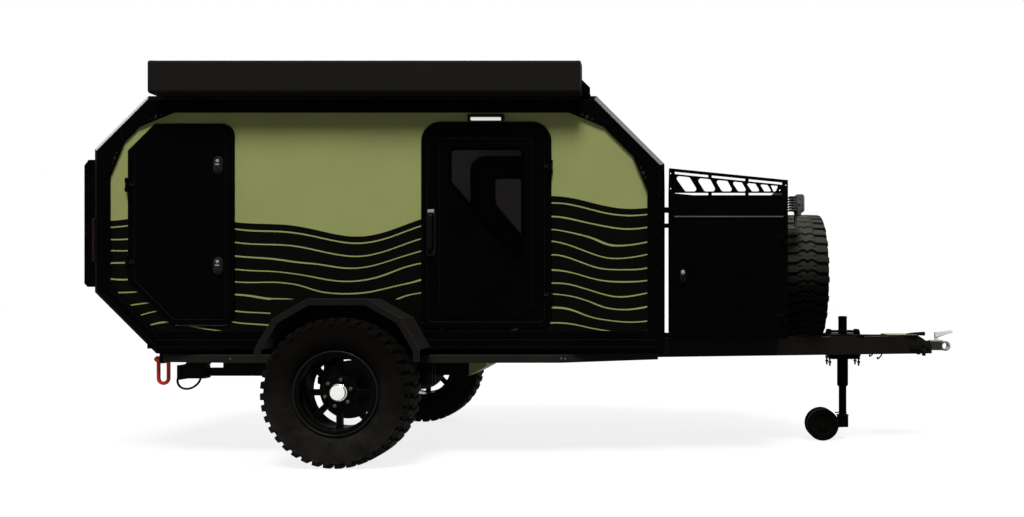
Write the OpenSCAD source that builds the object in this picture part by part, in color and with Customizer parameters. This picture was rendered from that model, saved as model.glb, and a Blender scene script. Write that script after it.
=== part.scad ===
// Off-road camper trailer on one axle, standing on its jockey wheel.
// X runs forward to the coupler, Y to the left side, Z up from the ground, in millimetres.

/* [Cabin] */
// Length from the rear wall to the front wall
cabin_len = 3340; // [3280:10:3420]
// Height from the lower edge of the skirt to the roof
cabin_h = 1510; // [1470:10:1560]
// Thickness of the wall, roof and floor panels
wall_t = 40; // [30:1:45]
// Leg of the 45 degree slope between front wall and roof
front_slope = 400; // [370:10:430]
// Leg of the slope between rear wall and roof
rear_slope = 315; // [290:5:340]
// Leg of the slope between rear wall and skirt
tail_slope = 360; // [340:10:380]

/* [Edge frame] */
// Width of the frame on the side faces
frame_w = 100; // [85:1:110]
// How far the frame stands out from the side walls
frame_t = 12; // [8:1:14]
// Width of the bevel along the frame's outer edge
bevel = 25; // [18:1:28]
// Height of the skirt band
skirt_h = 134; // [120:1:145]
// Length of the corner gussets along each edge
gusset_l = 190; // [160:5:210]

/* [Doors and hatches] */
// Width of the entry doors
door_w = 751; // [700:1:770]
// Distance of the entry doors' front edge behind the front wall
door_setback = 667; // [640:1:700]
// Distance from the roof down to the entry doors
door_head = 158; // [150:1:180]
// Height of the door sill above the floor
door_sill = 37; // [30:1:50]
// Width of the side hatches
hatch_w = 613; // [580:1:640]
// Distance of the side hatches' hinge edge from the rear wall
hatch_edge = 208; // [200:1:225]
// Thickness of the rear hatch
rear_hatch_t = 85; // [60:1:95]
// Distance of the rear hatch's sides from the cabin's side faces
rear_hatch_inset = 60; // [50:1:90]
// Gap around every moving panel
panel_gap = 6; // [5:0.5:8]

/* [Chassis] */
// Height of the chassis underside above the ground
chassis_z0 = 572; // [560:1:590]
// Height of the chassis tubes
rail_h = 115; // [105:1:120]
// Width of the main rails
rail_b = 60; // [50:1:65]
// Distance of the main rails' centre from the cabin's side faces
rail_inset = 110; // [102:1:120]
// Width of the drawbar tubes
beam_b = 50; // [40:1:55]
// Distance from the jack to the tip of the coupler lever
nose_len = 723; // [700:1:760]
// Side of the rock rail tubes
rock_b = 46; // [40:1:48]

/* [Wheels] */
// Overall width across the tyres
overall_w = 2184; // [2170:2:2220]
// Outside diameter of the tyres
tyre_d = 830; // [810:2:846]
// Width of the tyres
tyre_w = 285; // [275:1:295]
// Gap between the cabin's side faces and the tyres
tyre_clear = 87; // [80:1:100]
// Diameter of the rims at the tyre beads
rim_d = 436; // [420:1:445]
// Distance of the axle behind the cabin's front wall
axle_back = 1806; // [1790:1:1830]
// Reach of the fenders outward from the side walls
fender_reach = 265; // [250:1:280]
// Height of the fender tops above the tyres
fender_gap = 105; // [95:1:120]

/* [Front box] */
// Length of the front box
box_len = 700; // [680:1:720]
// Width of the front box
box_w = 1390; // [1340:10:1420]
// Height of the front box
box_h = 725; // [700:1:740]
// Wall thickness of the front box
box_t = 24; // [18:1:28]
// Gap between the cabin and the front box
box_gap = 26; // [20:1:32]
// Height of the basket sides at the cabin end
basket_h = 279; // [260:1:295]
// Fall of the basket sides towards the front
basket_fall = 70; // [50:1:80]

/* [Jack] */
// Gap between the spare tyre and the jack's plate
jack_gap = 43; // [30:1:60]
// Radius of the jockey wheels
jack_wheel_r = 104; // [100:1:108]
// Lift of the jack leg
jack_lift = 170; // [120:5:175]

/* [Awning] */
// Length of the awning case
awning_len = 2455; // [2380:5:2480]
// Height of the awning case
awning_h = 187; // [150:1:190]
// Depth of the awning case
awning_d = 120; // [100:1:140]

/* [Hidden] */
$fn = 48;
// Thickness of the frame's corner, clearance of pins, gap of seats and lap of joined forms
corner_t = 30;
pin_gap = 0.05;
seat_gap = 0.3;
lap = 1;

// Where the sections lie along X, so that the bounding box is centred
handle_out = 4;
spare_gap = 16;
jack_plate = 105;
jack_ahead = box_gap + box_len + spare_gap + tyre_w + jack_gap + jack_plate;
drawbar_len = jack_ahead + nose_len;
total_len = drawbar_len + cabin_len + panel_gap + rear_hatch_t + handle_out;
x_cf = total_len / 2 - drawbar_len;
x_cr = x_cf - cabin_len;
x_wheel = x_cf - axle_back;
x_jack = x_cf + jack_ahead;
x_box = x_cf + box_gap;
x_box_front = x_box + box_len;
cabin_w = overall_w - 2 * (tyre_w + tyre_clear);
half_w = cabin_w / 2;
rail_y = half_w - rail_inset;
rear_hatch_w = cabin_w - 2 * rear_hatch_inset;
inner_w = half_w - wall_t;

// Heights
chassis_top = chassis_z0 + rail_h;
floor_top = chassis_top + wall_t;
skirt_drop = 75;
z_skirt = chassis_top - skirt_drop;
z_roof = z_skirt + cabin_h;
tyre_r = tyre_d / 2;
y_wheel = overall_w / 2 - tyre_w / 2;

// Hinges: knuckle radius, pin radius, knuckle height and plate size
knuckle_r = 7;
hinge_pin_r = 4;
knuckle_h = 26;
hinge_plate = 40;
plate_t = 4;
axis_out = knuckle_r + 2;

// Entry door outline
door_x1 = x_cf - door_setback;
door_x0 = door_x1 - door_w;
door_z0 = floor_top + door_sill;
door_z1 = z_roof - door_head;
door_h = door_z1 - door_z0;
door_proud = 14;
door_r_top = 110;
door_r_low = 55;
window_points = [[0.213, 0.71], [0.79, 0.29], [0.79, 0.877], [0.213, 0.877]];
window_r = 34;

// Side hatch outline
hatch_x0 = x_cr + hatch_edge;
hatch_x1 = hatch_x0 + hatch_w;
hatch_z0 = z_skirt + skirt_h + 34;
hatch_z1 = z_roof - 169;
hatch_top_cut = rear_slope - 160;
hatch_low_cut = tail_slope - 106;
hatch_r = 70;

// Rear hatch between the two rear slopes
rear_z0 = z_skirt + tail_slope + 31;
rear_z1 = z_roof - rear_slope - 52;
rear_lap = 40;

// Rear end of the rails, with the rear cross member
rear_member_x = x_cr + tail_slope + 12;

// Drawbar lines in plan: from the rails' inner faces under the cabin to the nose
lever_reach = 155;
beam_lap = 780;
beam_y0 = rail_y - rail_b / 2 - 1;
beam_y1 = 78;
beam_front = x_cf + drawbar_len - lever_reach;
beam_rear = x_cf - beam_lap;
beam_slope = (beam_y0 - beam_y1) / (beam_front - beam_rear);
function beam_outer(x) = beam_y1 + beam_slope * (beam_front - x);

// Rock rails
rock_z1 = chassis_top - 81;
rock_z0 = rock_z1 - rock_b;
rock_y = half_w + 25;

// Suspension
arm_y = rail_y + rail_b / 2 + 38;
arm_w = 48;
pivot_x = x_wheel + 396;
pivot_z = chassis_z0 - 96;
spindle_r = 22;
seat_x = x_wheel - 175;
drum_r = 165;
drum_back = 128;
drum_depth = 172;

// Front box
box_z0 = chassis_top + 10;
box_z1 = box_z0 + box_h;
spare_z = chassis_top + tyre_r - 36;
spare_x = x_box_front + spare_gap + tyre_w / 2;

// Helpers: boxes by their limits, outlines in the XZ plane carried along Y, and mirrored pairs
module block(x0, x1, y0, y1, z0, z1) {
    translate([x0, y0, z0]) cube([x1 - x0, y1 - y0, z1 - z0]);
}

module along_y(y0, y1) {
    translate([0, y1, 0]) rotate([90, 0, 0]) linear_extrude(height = y1 - y0) children();
}

module to_left() {
    mirror([0, 1, 0]) children();
}

module both_sides() {
    children();
    to_left() children();
}

// A rod along Y between two values
module rod_y(x, z, r, y0, y1) {
    translate([x, y1, z]) rotate([90, 0, 0]) cylinder(h = y1 - y0, r = r);
}

// Rectangle with round corners, its own radius below and above
module round_rect(x0, x1, z0, z1, r0, r1) {
    translate([x0, z0 + r0]) square([x1 - x0, z1 - z0 - r0 - r1]);
    translate([x0 + r0, z0]) square([x1 - x0 - 2 * r0, r0]);
    translate([x0 + r1, z1 - r1]) square([x1 - x0 - 2 * r1, r1]);
    for (x = [x0 + r0, x1 - r0]) translate([x, z0 + r0]) circle(r = r0);
    for (x = [x0 + r1, x1 - r1]) translate([x, z1 - r1]) circle(r = r1);
}

// Corners of a closed outline rounded by arcs of n steps
function unit(v) = v / norm(v);
function fillet(p, r, n = 6) = [for (i = [0 : len(p) - 1])
    let (a = unit(p[(i + len(p) - 1) % len(p)] - p[i]),
        b = unit(p[(i + 1) % len(p)] - p[i]),
        half = acos(a * b) / 2,
        c = p[i] + unit(a + b) * r / sin(half),
        a0 = atan2((p[i] + a * r / tan(half) - c)[1], (p[i] + a * r / tan(half) - c)[0]),
        sweep = 180 - 2 * half)
    for (k = [0 : n]) c + r * [cos(a0 + sweep * k / n), sin(a0 + sweep * k / n)]];

// A convex outline moved inward by d
function inset(p, d) = [for (i = [0 : len(p) - 1])
    let (u = unit(p[i] - p[(i + len(p) - 1) % len(p)]),
        v = unit(p[(i + 1) % len(p)] - p[i]),
        m = [-u[1], u[0]],
        n = [-v[1], v[0]])
    p[i] + (m + n) * d / (1 + m * n)];

// Side outline of the cabin, counterclockwise, with its lower edge at z
function cabin(z) = [
    [x_cr, z_skirt + tail_slope],
    [x_cr + tail_slope - (z - z_skirt), z],
    [x_cf, z],
    [x_cf, z_roof - front_slope],
    [x_cf - front_slope, z_roof],
    [x_cr + rear_slope, z_roof],
    [x_cr, z_roof - rear_slope]];

// Fixed half of a hinge: two knuckles on a pin, with arms to the wall; the axis is Z, the wall lies at +Y
module hinge_fixed(wall) {
    cylinder(h = 3 * knuckle_h + 2, r = hinge_pin_r, center = true);
    for (s = [-1, 1]) {
        translate([0, 0, s * (knuckle_h + 1) - knuckle_h / 2]) {
            cylinder(h = knuckle_h, r = knuckle_r);
            cube([knuckle_r + 4, wall, knuckle_h]);
        }
    }
}

// Moving half: one knuckle with its bore and a plate on the panel's outer face
module hinge_moving(face) {
    difference() {
        union() {
            cylinder(h = knuckle_h, r = knuckle_r, center = true);
            translate([-knuckle_r - 9, 0, -knuckle_h / 2]) cube([knuckle_r + 9, face + lap, knuckle_h]);
            translate([-hinge_plate, face - plate_t, -knuckle_h / 2])
                cube([hinge_plate, plate_t + lap, knuckle_h]);
        }
        cylinder(h = knuckle_h + 2, r = hinge_pin_r + pin_gap, center = true);
    }
}

// Hinge places of the panels on the right side: x and y of the axis, and the two heights
door_axis = [door_x1 + panel_gap / 2, -half_w - door_proud - axis_out];
door_hinge_z = [door_z0 + 190, door_z1 - 260];
hatch_axis = [hatch_x0 - panel_gap / 2, -half_w - door_proud - axis_out];
hatch_hinge_z = [hatch_z0 + hatch_low_cut + 110, hatch_z1 - hatch_top_cut - 200];
box_axis = [x_box_front - box_t - panel_gap / 2, -box_w / 2 - axis_out];
box_hinge_z = [box_z0 + 130, box_z1 - 130];
rear_axis = [x_cr - panel_gap - rear_hatch_t / 2, rear_z1 + axis_out];
rear_hinge_y = [-0.32 * rear_hatch_w, 0.32 * rear_hatch_w];

// Outlines of the side openings, grown by g
module door_outline(g) {
    round_rect(door_x0 - g, door_x1 + g, door_z0 - g, door_z1 + g, door_r_low + g, door_r_top + g);
}

module hatch_outline(g) {
    intersection() {
        round_rect(hatch_x0 - g - hatch_r, hatch_x1 + g, hatch_z0 - g, hatch_z1 + g,
            hatch_r + g, hatch_r + g);
        polygon([[hatch_x0 - g, hatch_z0 + hatch_low_cut - 0.41 * g],
            [hatch_x0 + hatch_low_cut - 0.41 * g, hatch_z0 - g],
            [hatch_x1 + g, hatch_z0 - g],
            [hatch_x1 + g, hatch_z1 + g],
            [hatch_x0 + hatch_top_cut - 0.41 * g, hatch_z1 + g],
            [hatch_x0 - g, hatch_z1 - hatch_top_cut + 0.41 * g]]);
    }
}

window = fillet([for (q = window_points) [door_x0 + q[0] * door_w, door_z0 + q[1] * door_h]], window_r);

// Two main rails, hollow
module chassis_rails() {
    rail_x0 = rear_member_x;
    rail_x1 = x_cf - 620;
    color("black") both_sides() difference() {
        block(rail_x0, rail_x1, -rail_y - rail_b / 2, -rail_y + rail_b / 2, chassis_z0, chassis_top);
        block(rail_x0 - 1, rail_x1 + 1, -rail_y - rail_b / 2 + 5, -rail_y + rail_b / 2 - 5,
            chassis_z0 + 5, chassis_top - 5);
    }
}

// Cross members between the rails and the outriggers that carry the rock rails
module cross_members() {
    y_in = rail_y - rail_b / 2;
    y_out = rail_y + rail_b / 2;
    color("black") {
        for (x = [rear_member_x, x_wheel - 620, x_wheel - 90, x_wheel + 700])
            block(x, x + 50, -y_in, y_in, chassis_z0 + 20, chassis_top);
        both_sides() for (x = [x_wheel - 640, x_wheel + 560, x_wheel + 1040])
            block(x, x + 50, -rock_y + rock_b, -y_out, rock_z0, rock_z1);
    }
}

// Tow lugs on the rear cross member, with the bores of the shackle pins along X
module tow_lugs() {
    y0 = shackle_y - lug_half;
    y1 = shackle_y + lug_half;
    color("black") both_sides() difference() {
        union() {
            block(shackle_x - 12, rear_member_x, y0, y1, chassis_z0 + 30, chassis_top);
            block(shackle_x - 12, shackle_x + 12, y0, y1, shackle_z - 24, chassis_top);
        }
        translate([shackle_x, shackle_y, shackle_z]) rotate([0, 90, 0])
            cylinder(h = 2 * lug_half, r = shackle_r + pin_gap, center = true);
    }
}

// Two converging tubes with a bevelled top at the nose
module drawbar() {
    y0 = beam_outer(beam_rear);
    color("black") both_sides() intersection() {
        translate([0, 0, chassis_z0]) linear_extrude(height = rail_h)
            polygon([[beam_rear, -y0], [beam_front, -beam_y1], [beam_front, -beam_y1 + beam_b],
                [beam_rear, -y0 + beam_b]]);
        along_y(-y0 - 1, 0) polygon([[beam_rear - 1, chassis_z0 - 1], [beam_front + 1, chassis_z0 - 1],
            [beam_front + 1, chassis_z0 + 58], [beam_front - 88, chassis_top],
            [beam_rear - 1, chassis_top]]);
    }
}

// Nose block between the tubes with the bore of the coupler's shaft, and a top plate
coupler_z = chassis_z0 + 46;
shaft_r = 20;
module coupler_mount() {
    y_in = beam_y1 - beam_b;
    color("olive") difference() {
        union() {
            block(beam_front - 150, beam_front, -y_in, y_in, chassis_z0, chassis_z0 + 80);
            block(beam_front - 150, beam_front - 100, -y_in, y_in, chassis_z0, chassis_top + lap);
            block(beam_front - 290, beam_front - 100, -beam_y1 - 40, beam_y1 + 40,
                chassis_top, chassis_top + 8);
        }
        translate([beam_front - 120, 0, coupler_z]) rotate([0, 90, 0])
            cylinder(h = 130, r = shaft_r + pin_gap);
    }
}

// Towing head: shaft, body, eye with its cross bore, and the latch lever on top
eye_x = beam_front + 104;
eye_r = 21;
module coupler_head() {
    x_tip = x_cf + drawbar_len;
    color("silver") difference() {
        union() {
            translate([beam_front - 100, 0, coupler_z]) rotate([0, 90, 0]) cylinder(h = 120, r = shaft_r);
            block(beam_front + 6, eye_x - 16, -30, 30, coupler_z - 28, coupler_z + 38);
            rod_y(eye_x, coupler_z, 33, -30, 30);
            block(beam_front + 40, beam_front + 62, -11, 11, coupler_z + 30, coupler_z + 84);
            along_y(-14, 14) polygon([[beam_front + 40, coupler_z + 56], [x_tip, coupler_z + 86],
                [x_tip, coupler_z + 100], [beam_front + 40, coupler_z + 90]]);
        }
        rod_y(eye_x, coupler_z, eye_r, -40, 40);
    }
}

// Jack tube with its plate on the drawbar, a flange on four posts above and a shoe below
jack_r = 31;
jack_head_r = 28.5;
leg_r = 25;
jack_z0 = 352;
jack_top = chassis_top + 123;
module jack_post() {
    y_plate = beam_outer(x_jack) - 12;
    color("black") difference() {
        union() {
            translate([x_jack, 0, jack_z0]) cylinder(h = chassis_top + 14 - jack_z0, r = jack_r);
            translate([x_jack, 0, chassis_top]) cylinder(h = jack_top - chassis_top, r = jack_head_r);
            block(x_jack - jack_plate, x_jack + jack_plate, -y_plate, y_plate, chassis_top, chassis_top + 10);
            block(x_jack - jack_plate, x_jack + jack_plate, -45, 45, chassis_top + 20, chassis_top + 34);
            for (s = [-1, 1], y = [-30, 30]) translate([x_jack + s * (jack_plate - 14), y, chassis_top])
                cylinder(h = 42, r = 12);
            along_y(-72, 72) polygon([[x_jack - jack_plate, chassis_z0],
                [x_jack - jack_plate, chassis_z0 - 18], [x_jack - jack_plate + 24, chassis_z0 - 38],
                [x_jack + jack_plate - 24, chassis_z0 - 38], [x_jack + jack_plate, chassis_z0 - 18],
                [x_jack + jack_plate, chassis_z0]]);
        }
        translate([x_jack, 0, jack_z0 - 1]) cylinder(h = jack_top - 12 - jack_z0, r = leg_r + pin_gap);
    }
}

// Leg that slides in the tube, with the swivel spigot below
caster_top = 158;
spigot_r = 14;
module jack_leg() {
    color("gray") {
        translate([x_jack, 0, caster_top + seat_gap]) cylinder(h = jack_lift + 250, r = leg_r);
        translate([x_jack, 0, caster_top - 56]) cylinder(h = 60, r = spigot_r);
    }
}

// Swivel block with the trailing arm to the wheels
axle_r = 10;
trail = 139;
module jack_caster() {
    color("black") difference() {
        union() {
            block(x_jack - 33, x_jack + 33, -27, 27, 84, caster_top);
            block(x_jack - trail, x_jack, -18, 18, jack_wheel_r - 22, jack_wheel_r + 34);
            rod_y(x_jack - trail, jack_wheel_r, 24, -18, 18);
        }
        translate([x_jack, 0, caster_top - 58]) cylinder(h = 60, r = spigot_r + pin_gap);
        rod_y(x_jack - trail, jack_wheel_r, axle_r + pin_gap, -20, 20);
    }
}

// Twin jockey wheels on one axle
module jack_wheel() {
    color("black") translate([x_jack - trail, 0, jack_wheel_r]) rotate([90, 0, 0]) {
        for (s = [0, 1]) mirror([0, 0, s]) translate([0, 0, 23]) rotate_extrude()
            polygon([[0, 0], [jack_wheel_r - 8, 0], [jack_wheel_r, 9], [jack_wheel_r, 36],
                [jack_wheel_r - 8, 45], [70, 45], [62, 38], [30, 38], [26, 48], [0, 48]]);
        cylinder(h = 60, r = axle_r, center = true);
    }
}

// Rock rails: a straight piece and a piece that runs inwards to the chassis, before and behind the wheel,
// thinner where they pass the hangers
module rock_rails() {
    run = half_w + 25;
    front0 = x_wheel + tyre_r - 27;
    front1 = x_cf - 605;
    front2 = x_cf - 40;
    y_front = beam_outer(front2);
    step_x = pivot_x + 56;
    thin = 28;
    rear0 = x_wheel - tyre_r - 70;
    rear1 = x_wheel - 740;
    rear2 = x_cr + tail_slope + 30;
    y_rear = rail_y + rail_b / 2;
    color("black") both_sides() translate([0, 0, rock_z0]) linear_extrude(height = rock_b) {
        polygon([[front0, -run], [front1, -run], [front2, -y_front - rock_b * 0.6], [front2, -y_front],
            [front1 - 8, -run + rock_b], [step_x, -run + rock_b], [step_x, -run + thin],
            [front0, -run + thin]]);
        polygon([[rear0, -run], [rear0, -run + rock_b], [rear1 + 4, -run + rock_b], [rear2, -y_rear],
            [rear2, -y_rear - rock_b], [rear1, -run]]);
    }
}

// Folded fenders: an arch of straight panels with a lip along the outer edge that ends in two feet
fender_half = tyre_r + 46;
fender_top = tyre_d + fender_gap;
fender_t = 6;
function arch(d) = [
    [x_wheel - 20 - fender_half + d, chassis_z0 + 10],
    [x_wheel - 20 - fender_half + d, chassis_z0 + 80 - 0.3 * d],
    [x_wheel - 20 - fender_half + 102 + 0.75 * d, fender_top - 110 - 0.7 * d],
    [x_wheel - 20 - 167 + 0.28 * d, fender_top - d],
    [x_wheel - 20 + 167 - 0.28 * d, fender_top - d],
    [x_wheel - 20 + fender_half - 102 - 0.75 * d, fender_top - 110 - 0.7 * d],
    [x_wheel - 20 + fender_half - d, chassis_z0 + 80 - 0.3 * d],
    [x_wheel - 20 + fender_half - d, chassis_z0 + 10]];
function reversed(p) = [for (i = [len(p) - 1 : -1 : 0]) p[i]];
function above_feet(p) = [for (i = [1 : len(p) - 2]) p[i]];
module arch_sheet(y0, y1) {
    along_y(y0, y1) polygon(concat(above_feet(arch(0)), reversed(above_feet(arch(fender_t)))));
}

module fenders() {
    y_in = half_w + frame_t;
    y_out = half_w + fender_reach;
    color("dimgray") both_sides() {
        arch_sheet(-y_out, -y_in);
        along_y(-y_out, -y_out + fender_t) polygon(concat(arch(0), reversed(arch(36))));
        intersection() {
            arch_sheet(-y_in - lap, -half_w);
            block(x_wheel - 2 * fender_half, x_wheel + 2 * fender_half, -y_in - 2 * lap, -half_w,
                z_skirt + skirt_h + lap, fender_top + lap);
        }
    }
}

// Trailing arms with their pivot pin, spring seat and stub axle
module trailing_arms() {
    color("black") both_sides() {
        along_y(-arm_y - arm_w / 2, -arm_y + arm_w / 2)
            polygon([[x_wheel - 50, tyre_r - 42], [x_wheel + 30, tyre_r - 46], [pivot_x, pivot_z - 30],
                [pivot_x, pivot_z + 30], [x_wheel + 30, tyre_r + 46], [seat_x - 55, tyre_r + 46],
                [seat_x - 55, tyre_r + 20]]);
        rod_y(pivot_x, pivot_z, 32, -arm_y - arm_w / 2, -arm_y + arm_w / 2);
        rod_y(pivot_x, pivot_z, 12, -arm_y - arm_w / 2 - 16, -arm_y + arm_w / 2 + 16);
        rod_y(x_wheel, tyre_r, 36, -y_wheel + drum_depth - 24, -arm_y);
        rod_y(x_wheel, tyre_r, spindle_r, -y_wheel - 40, -arm_y);
        block(seat_x - 55, seat_x + 60, -arm_y - arm_w / 2, -rail_y + 24, tyre_r + 36, tyre_r + 60);
    }
}

// Hangers under the rails that hold the arms' pivots
module hangers() {
    ear = 12;
    y0 = arm_y + arm_w / 2;
    y1 = arm_y - arm_w / 2;
    color("gray") both_sides() difference() {
        union() {
            block(pivot_x - 50, pivot_x + 50, -y0 - ear, -rail_y + rail_b / 2, chassis_z0 - 12, chassis_z0);
            for (y = [-y0 - ear, -y1 + seat_gap])
                block(pivot_x - 50, pivot_x + 50, y, y + ear - seat_gap, pivot_z - 46, chassis_z0 - 12 + lap);
        }
        rod_y(pivot_x, pivot_z, 12 + pin_gap, -y0 - ear - 1, -y1 + ear + 1);
    }
}

// Hollow rubber springs between the arms and the rails
module spring_pads() {
    h = chassis_z0 - tyre_r - 60;
    color("black") both_sides() translate([seat_x, -rail_y, tyre_r + 60]) rotate_extrude()
        polygon([[12, 0], [50, 0], [55, h * 0.15], [48, h * 0.5], [55, h * 0.85], [50, h], [12, h]]);
}

// Water tank under the floor and the stone guard ahead of it
tank_x1 = pivot_x + 180;
tank_z0 = chassis_z0 - 122;
tank_half = rail_y - 310;
guard_len = 110;
module water_tank() {
    color("black") block(x_wheel + 20, tank_x1, -tank_half, tank_half, tank_z0, chassis_top);
}

module stone_guard() {
    color("olive") along_y(-tank_half, tank_half) polygon([[tank_x1, tank_z0 - 5],
        [tank_x1 + guard_len, tank_z0 + guard_len / 2], [tank_x1 + guard_len, chassis_z0 + 60],
        [tank_x1, chassis_z0 + 60]]);
}

// Rear receiver: drawn tube, socket head with a collar, plates up to the cross member and the chain loop
receiver_x = x_cr + 158;
receiver_z = chassis_z0 - 125;
socket = 51;
collar_t = 14;
plate_w = 12;
module receiver() {
    x0 = receiver_x + 163;
    x1 = x_wheel - 570;
    top = chassis_z0 + 20;
    head_top = receiver_z + 38;
    loop_r = 75;
    bar = 7;
    color("black") {
        difference() {
            union() {
                block(receiver_x, x0, -42, 42, receiver_z - 42, head_top);
                block(receiver_x - collar_t, receiver_x + 10, -50, 50, receiver_z - 50, head_top + 8);
                block(x0 - lap, x1, -26, 26, receiver_z - 26, receiver_z + 26);
                for (y = [-26, 26 - plate_w]) along_y(y, y + plate_w) {
                    polygon([[receiver_x + 12, head_top - lap], [x0, head_top - lap],
                        [rear_member_x, top - 32], [rear_member_x, top + 60],
                        [rear_member_x - 36, top + 60]]);
                    polygon([[x0 + 115, receiver_z + 20], [x1, receiver_z + 20], [x1, top],
                        [rear_member_x + 5, top], [rear_member_x + 5, top - 20], [x0 + 115, top - 70]]);
                }
            }
            block(receiver_x - collar_t - 1, receiver_x + 150, -socket / 2, socket / 2,
                receiver_z - socket / 2, receiver_z + socket / 2);
            rod_y(receiver_x + 60, receiver_z, 8, -60, 60);
        }
        translate([receiver_x + 42, 0, receiver_z - 44]) rotate([62, 0, 0]) rotate([0, 0, 180])
            rotate_extrude(angle = 180) translate([loop_r, 0]) circle(r = bar, $fn = 16);
    }
}

// Bow shackles hanging from the tow lugs, each a pin along X in two eyes, two arms and a half ring
shackle_x = x_cr + tail_slope - 40;
shackle_y = -rail_y + 60;
shackle_z = chassis_z0 - 4;
shackle_r = 11;
bow_r = 30;
bow_len = 115;
lug_half = 24;
module recovery_shackles() {
    color("red") both_sides() translate([shackle_x, shackle_y, shackle_z]) {
        rotate([0, 90, 0]) cylinder(h = 2 * bow_r + 44, r = shackle_r, center = true);
        for (s = [-1, 1]) translate([s * bow_r, 0, 0]) rotate([0, 90, 0])
            cylinder(h = 24, r = shackle_r + 8, center = true);
        for (s = [-1, 1]) translate([s * bow_r, 0, -bow_len]) cylinder(h = bow_len + 10, r = shackle_r);
        translate([0, 0, -bow_len]) rotate([90, 0, 0]) rotate([0, 0, 180]) rotate_extrude(angle = 180)
            translate([bow_r, 0]) circle(r = shackle_r);
    }
}

// Cabin panels between the side walls, mitred where they meet
module cabin_panel(i) {
    p = cabin(chassis_top);
    q = inset(p, wall_t);
    j = (i + 1) % len(p);
    along_y(-inner_w, inner_w) polygon([p[i], p[j], q[j], q[i]]);
}

module floor_panel() {
    color("gray") cabin_panel(1);
}

module front_wall() {
    color("black") cabin_panel(2);
}

module front_slope_panel() {
    color("black") cabin_panel(3);
}

module roof_panel() {
    color("black") cabin_panel(4);
}

module rear_slope_panel() {
    color("black") cabin_panel(5);
}

module rear_wall() {
    y = rear_hatch_w / 2 - rear_lap;
    color("black") difference() {
        cabin_panel(6);
        block(x_cr - 1, x_cr + wall_t + 1, -y, y, rear_z0 + rear_lap, rear_z1 - rear_lap);
    }
}

module tail_slope_panel() {
    color("black") cabin_panel(0);
}

// Side walls with the openings of the entry doors and side hatches
module side_walls() {
    color("olive") both_sides() along_y(-half_w, -inner_w) difference() {
        polygon(inset(cabin(z_skirt), corner_t));
        door_outline(panel_gap);
        hatch_outline(panel_gap);
    }
}

// Frame along the cabin's edges: a bevelled angle section, a grooved skirt and gussets with three holes
frame_section = [[0, -inner_w], [0, -half_w - frame_t + bevel], [bevel, -half_w - frame_t],
    [frame_w, -half_w - frame_t], [frame_w, -half_w], [corner_t, -half_w], [corner_t, -inner_w]];
module frame_ring() {
    p = cabin(z_skirt);
    n = len(p);
    m = len(frame_section);
    polyhedron(
        points = [for (s = frame_section) for (q = inset(p, s[0])) [q[0], s[1], q[1]]],
        faces = [for (k = [0 : m - 1]) for (i = [0 : n - 1])
            [((k + 1) % m) * n + i, ((k + 1) % m) * n + (i + 1) % n, k * n + (i + 1) % n, k * n + i]]);
}

// Gusset at corner i of the outline: a chevron with a straight inner edge and three holes along it
gusset_t = 4;
gusset_deep = 1.53 * frame_w;
gusset_holes = [[0, 12], [-32, 8.5], [32, 8.5]];
module gusset_plate(i) {
    p = cabin(z_skirt);
    v = inset(p, bevel + 3)[i];
    e = inset(p, frame_w)[i];
    a = unit(p[(i + 6) % 7] - p[i]);
    b = unit(p[(i + 1) % 7] - p[i]);
    c = unit(a + b);
    t = [c[1], -c[0]];
    run = (gusset_deep - norm(e - p[i])) / (a * c);
    mid = p[i] + c * (gusset_deep - 17);
    face = -half_w - frame_t - gusset_t;
    difference() {
        along_y(face, -half_w) polygon([v, v + b * gusset_l, e + b * run, e + a * run, v + a * gusset_l]);
        for (h = gusset_holes) rod_y((mid + t * h[0])[0], (mid + t * h[0])[1], h[1], face - 1, -half_w + 1);
    }
}

module edge_frames() {
    groove = 3;
    p = cabin(z_skirt);
    u = unit(p[1] - p[0]) * bevel;
    color("black") both_sides() {
        difference() {
            union() {
                frame_ring();
                block(x_cr + tail_slope - 40, x_cf - bevel - 5, -half_w - frame_t, -half_w,
                    z_skirt + bevel + 5, z_skirt + skirt_h);
            }
            for (d = [40, 84]) {
                block(x_cr + tail_slope, x_cf - 60, -half_w - frame_t - 1, -half_w - frame_t + groove,
                    z_skirt + d, z_skirt + d + 8);
                low = inset(p, d);
                high = inset(p, d + 8);
                along_y(-half_w - frame_t - 1, -half_w - frame_t + groove)
                    polygon([low[0] + u, low[1] - u, high[1] - u, high[0] + u]);
            }
        }
        for (i = [3, 4, 5, 6]) gusset_plate(i);
    }
}

// Bright strips on the bevel of the front and rear upper slopes
strip_t = 2;
module cap_strip(i, keep) {
    p = cabin(z_skirt);
    u = unit(p[i + 1] - p[i]);
    y0 = -half_w - frame_t + bevel;
    y1 = -half_w - frame_t;
    e = strip_t / sqrt(2);
    ends = [for (k = [0, 1]) for (s = [[0, y0, 0], [bevel, y1, 0], [bevel, y1, 1], [0, y0, 1]])
        let (out = pin_gap + s[2] * e, q = inset(p, s[0] - out)[i + k] + u * (k == 0 ? keep : -keep))
        [q[0], s[1] - out, q[1]]];
    polyhedron(points = ends, faces = [[0, 1, 2, 3], [7, 6, 5, 4], [1, 0, 4, 5], [2, 1, 5, 6],
        [3, 2, 6, 7], [0, 3, 7, 4]]);
}

module cap_strips() {
    color("silver") both_sides() {
        cap_strip(3, 2);
        cap_strip(5, 2);
    }
}

// Awning case beside the roof's right edge, on a rail with three brackets
awning_x0 = x_cr + 403;
awning_y0 = half_w + frame_t + 13;
awning_z0 = z_roof - 13;
module awning_case() {
    r = 18;
    color("dimgray") translate([awning_x0, 0, 0]) rotate([90, 0, 90]) linear_extrude(height = awning_len)
        round_rect(-awning_y0 - awning_d, -awning_y0, awning_z0, awning_z0 + awning_h, r, r);
}

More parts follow.
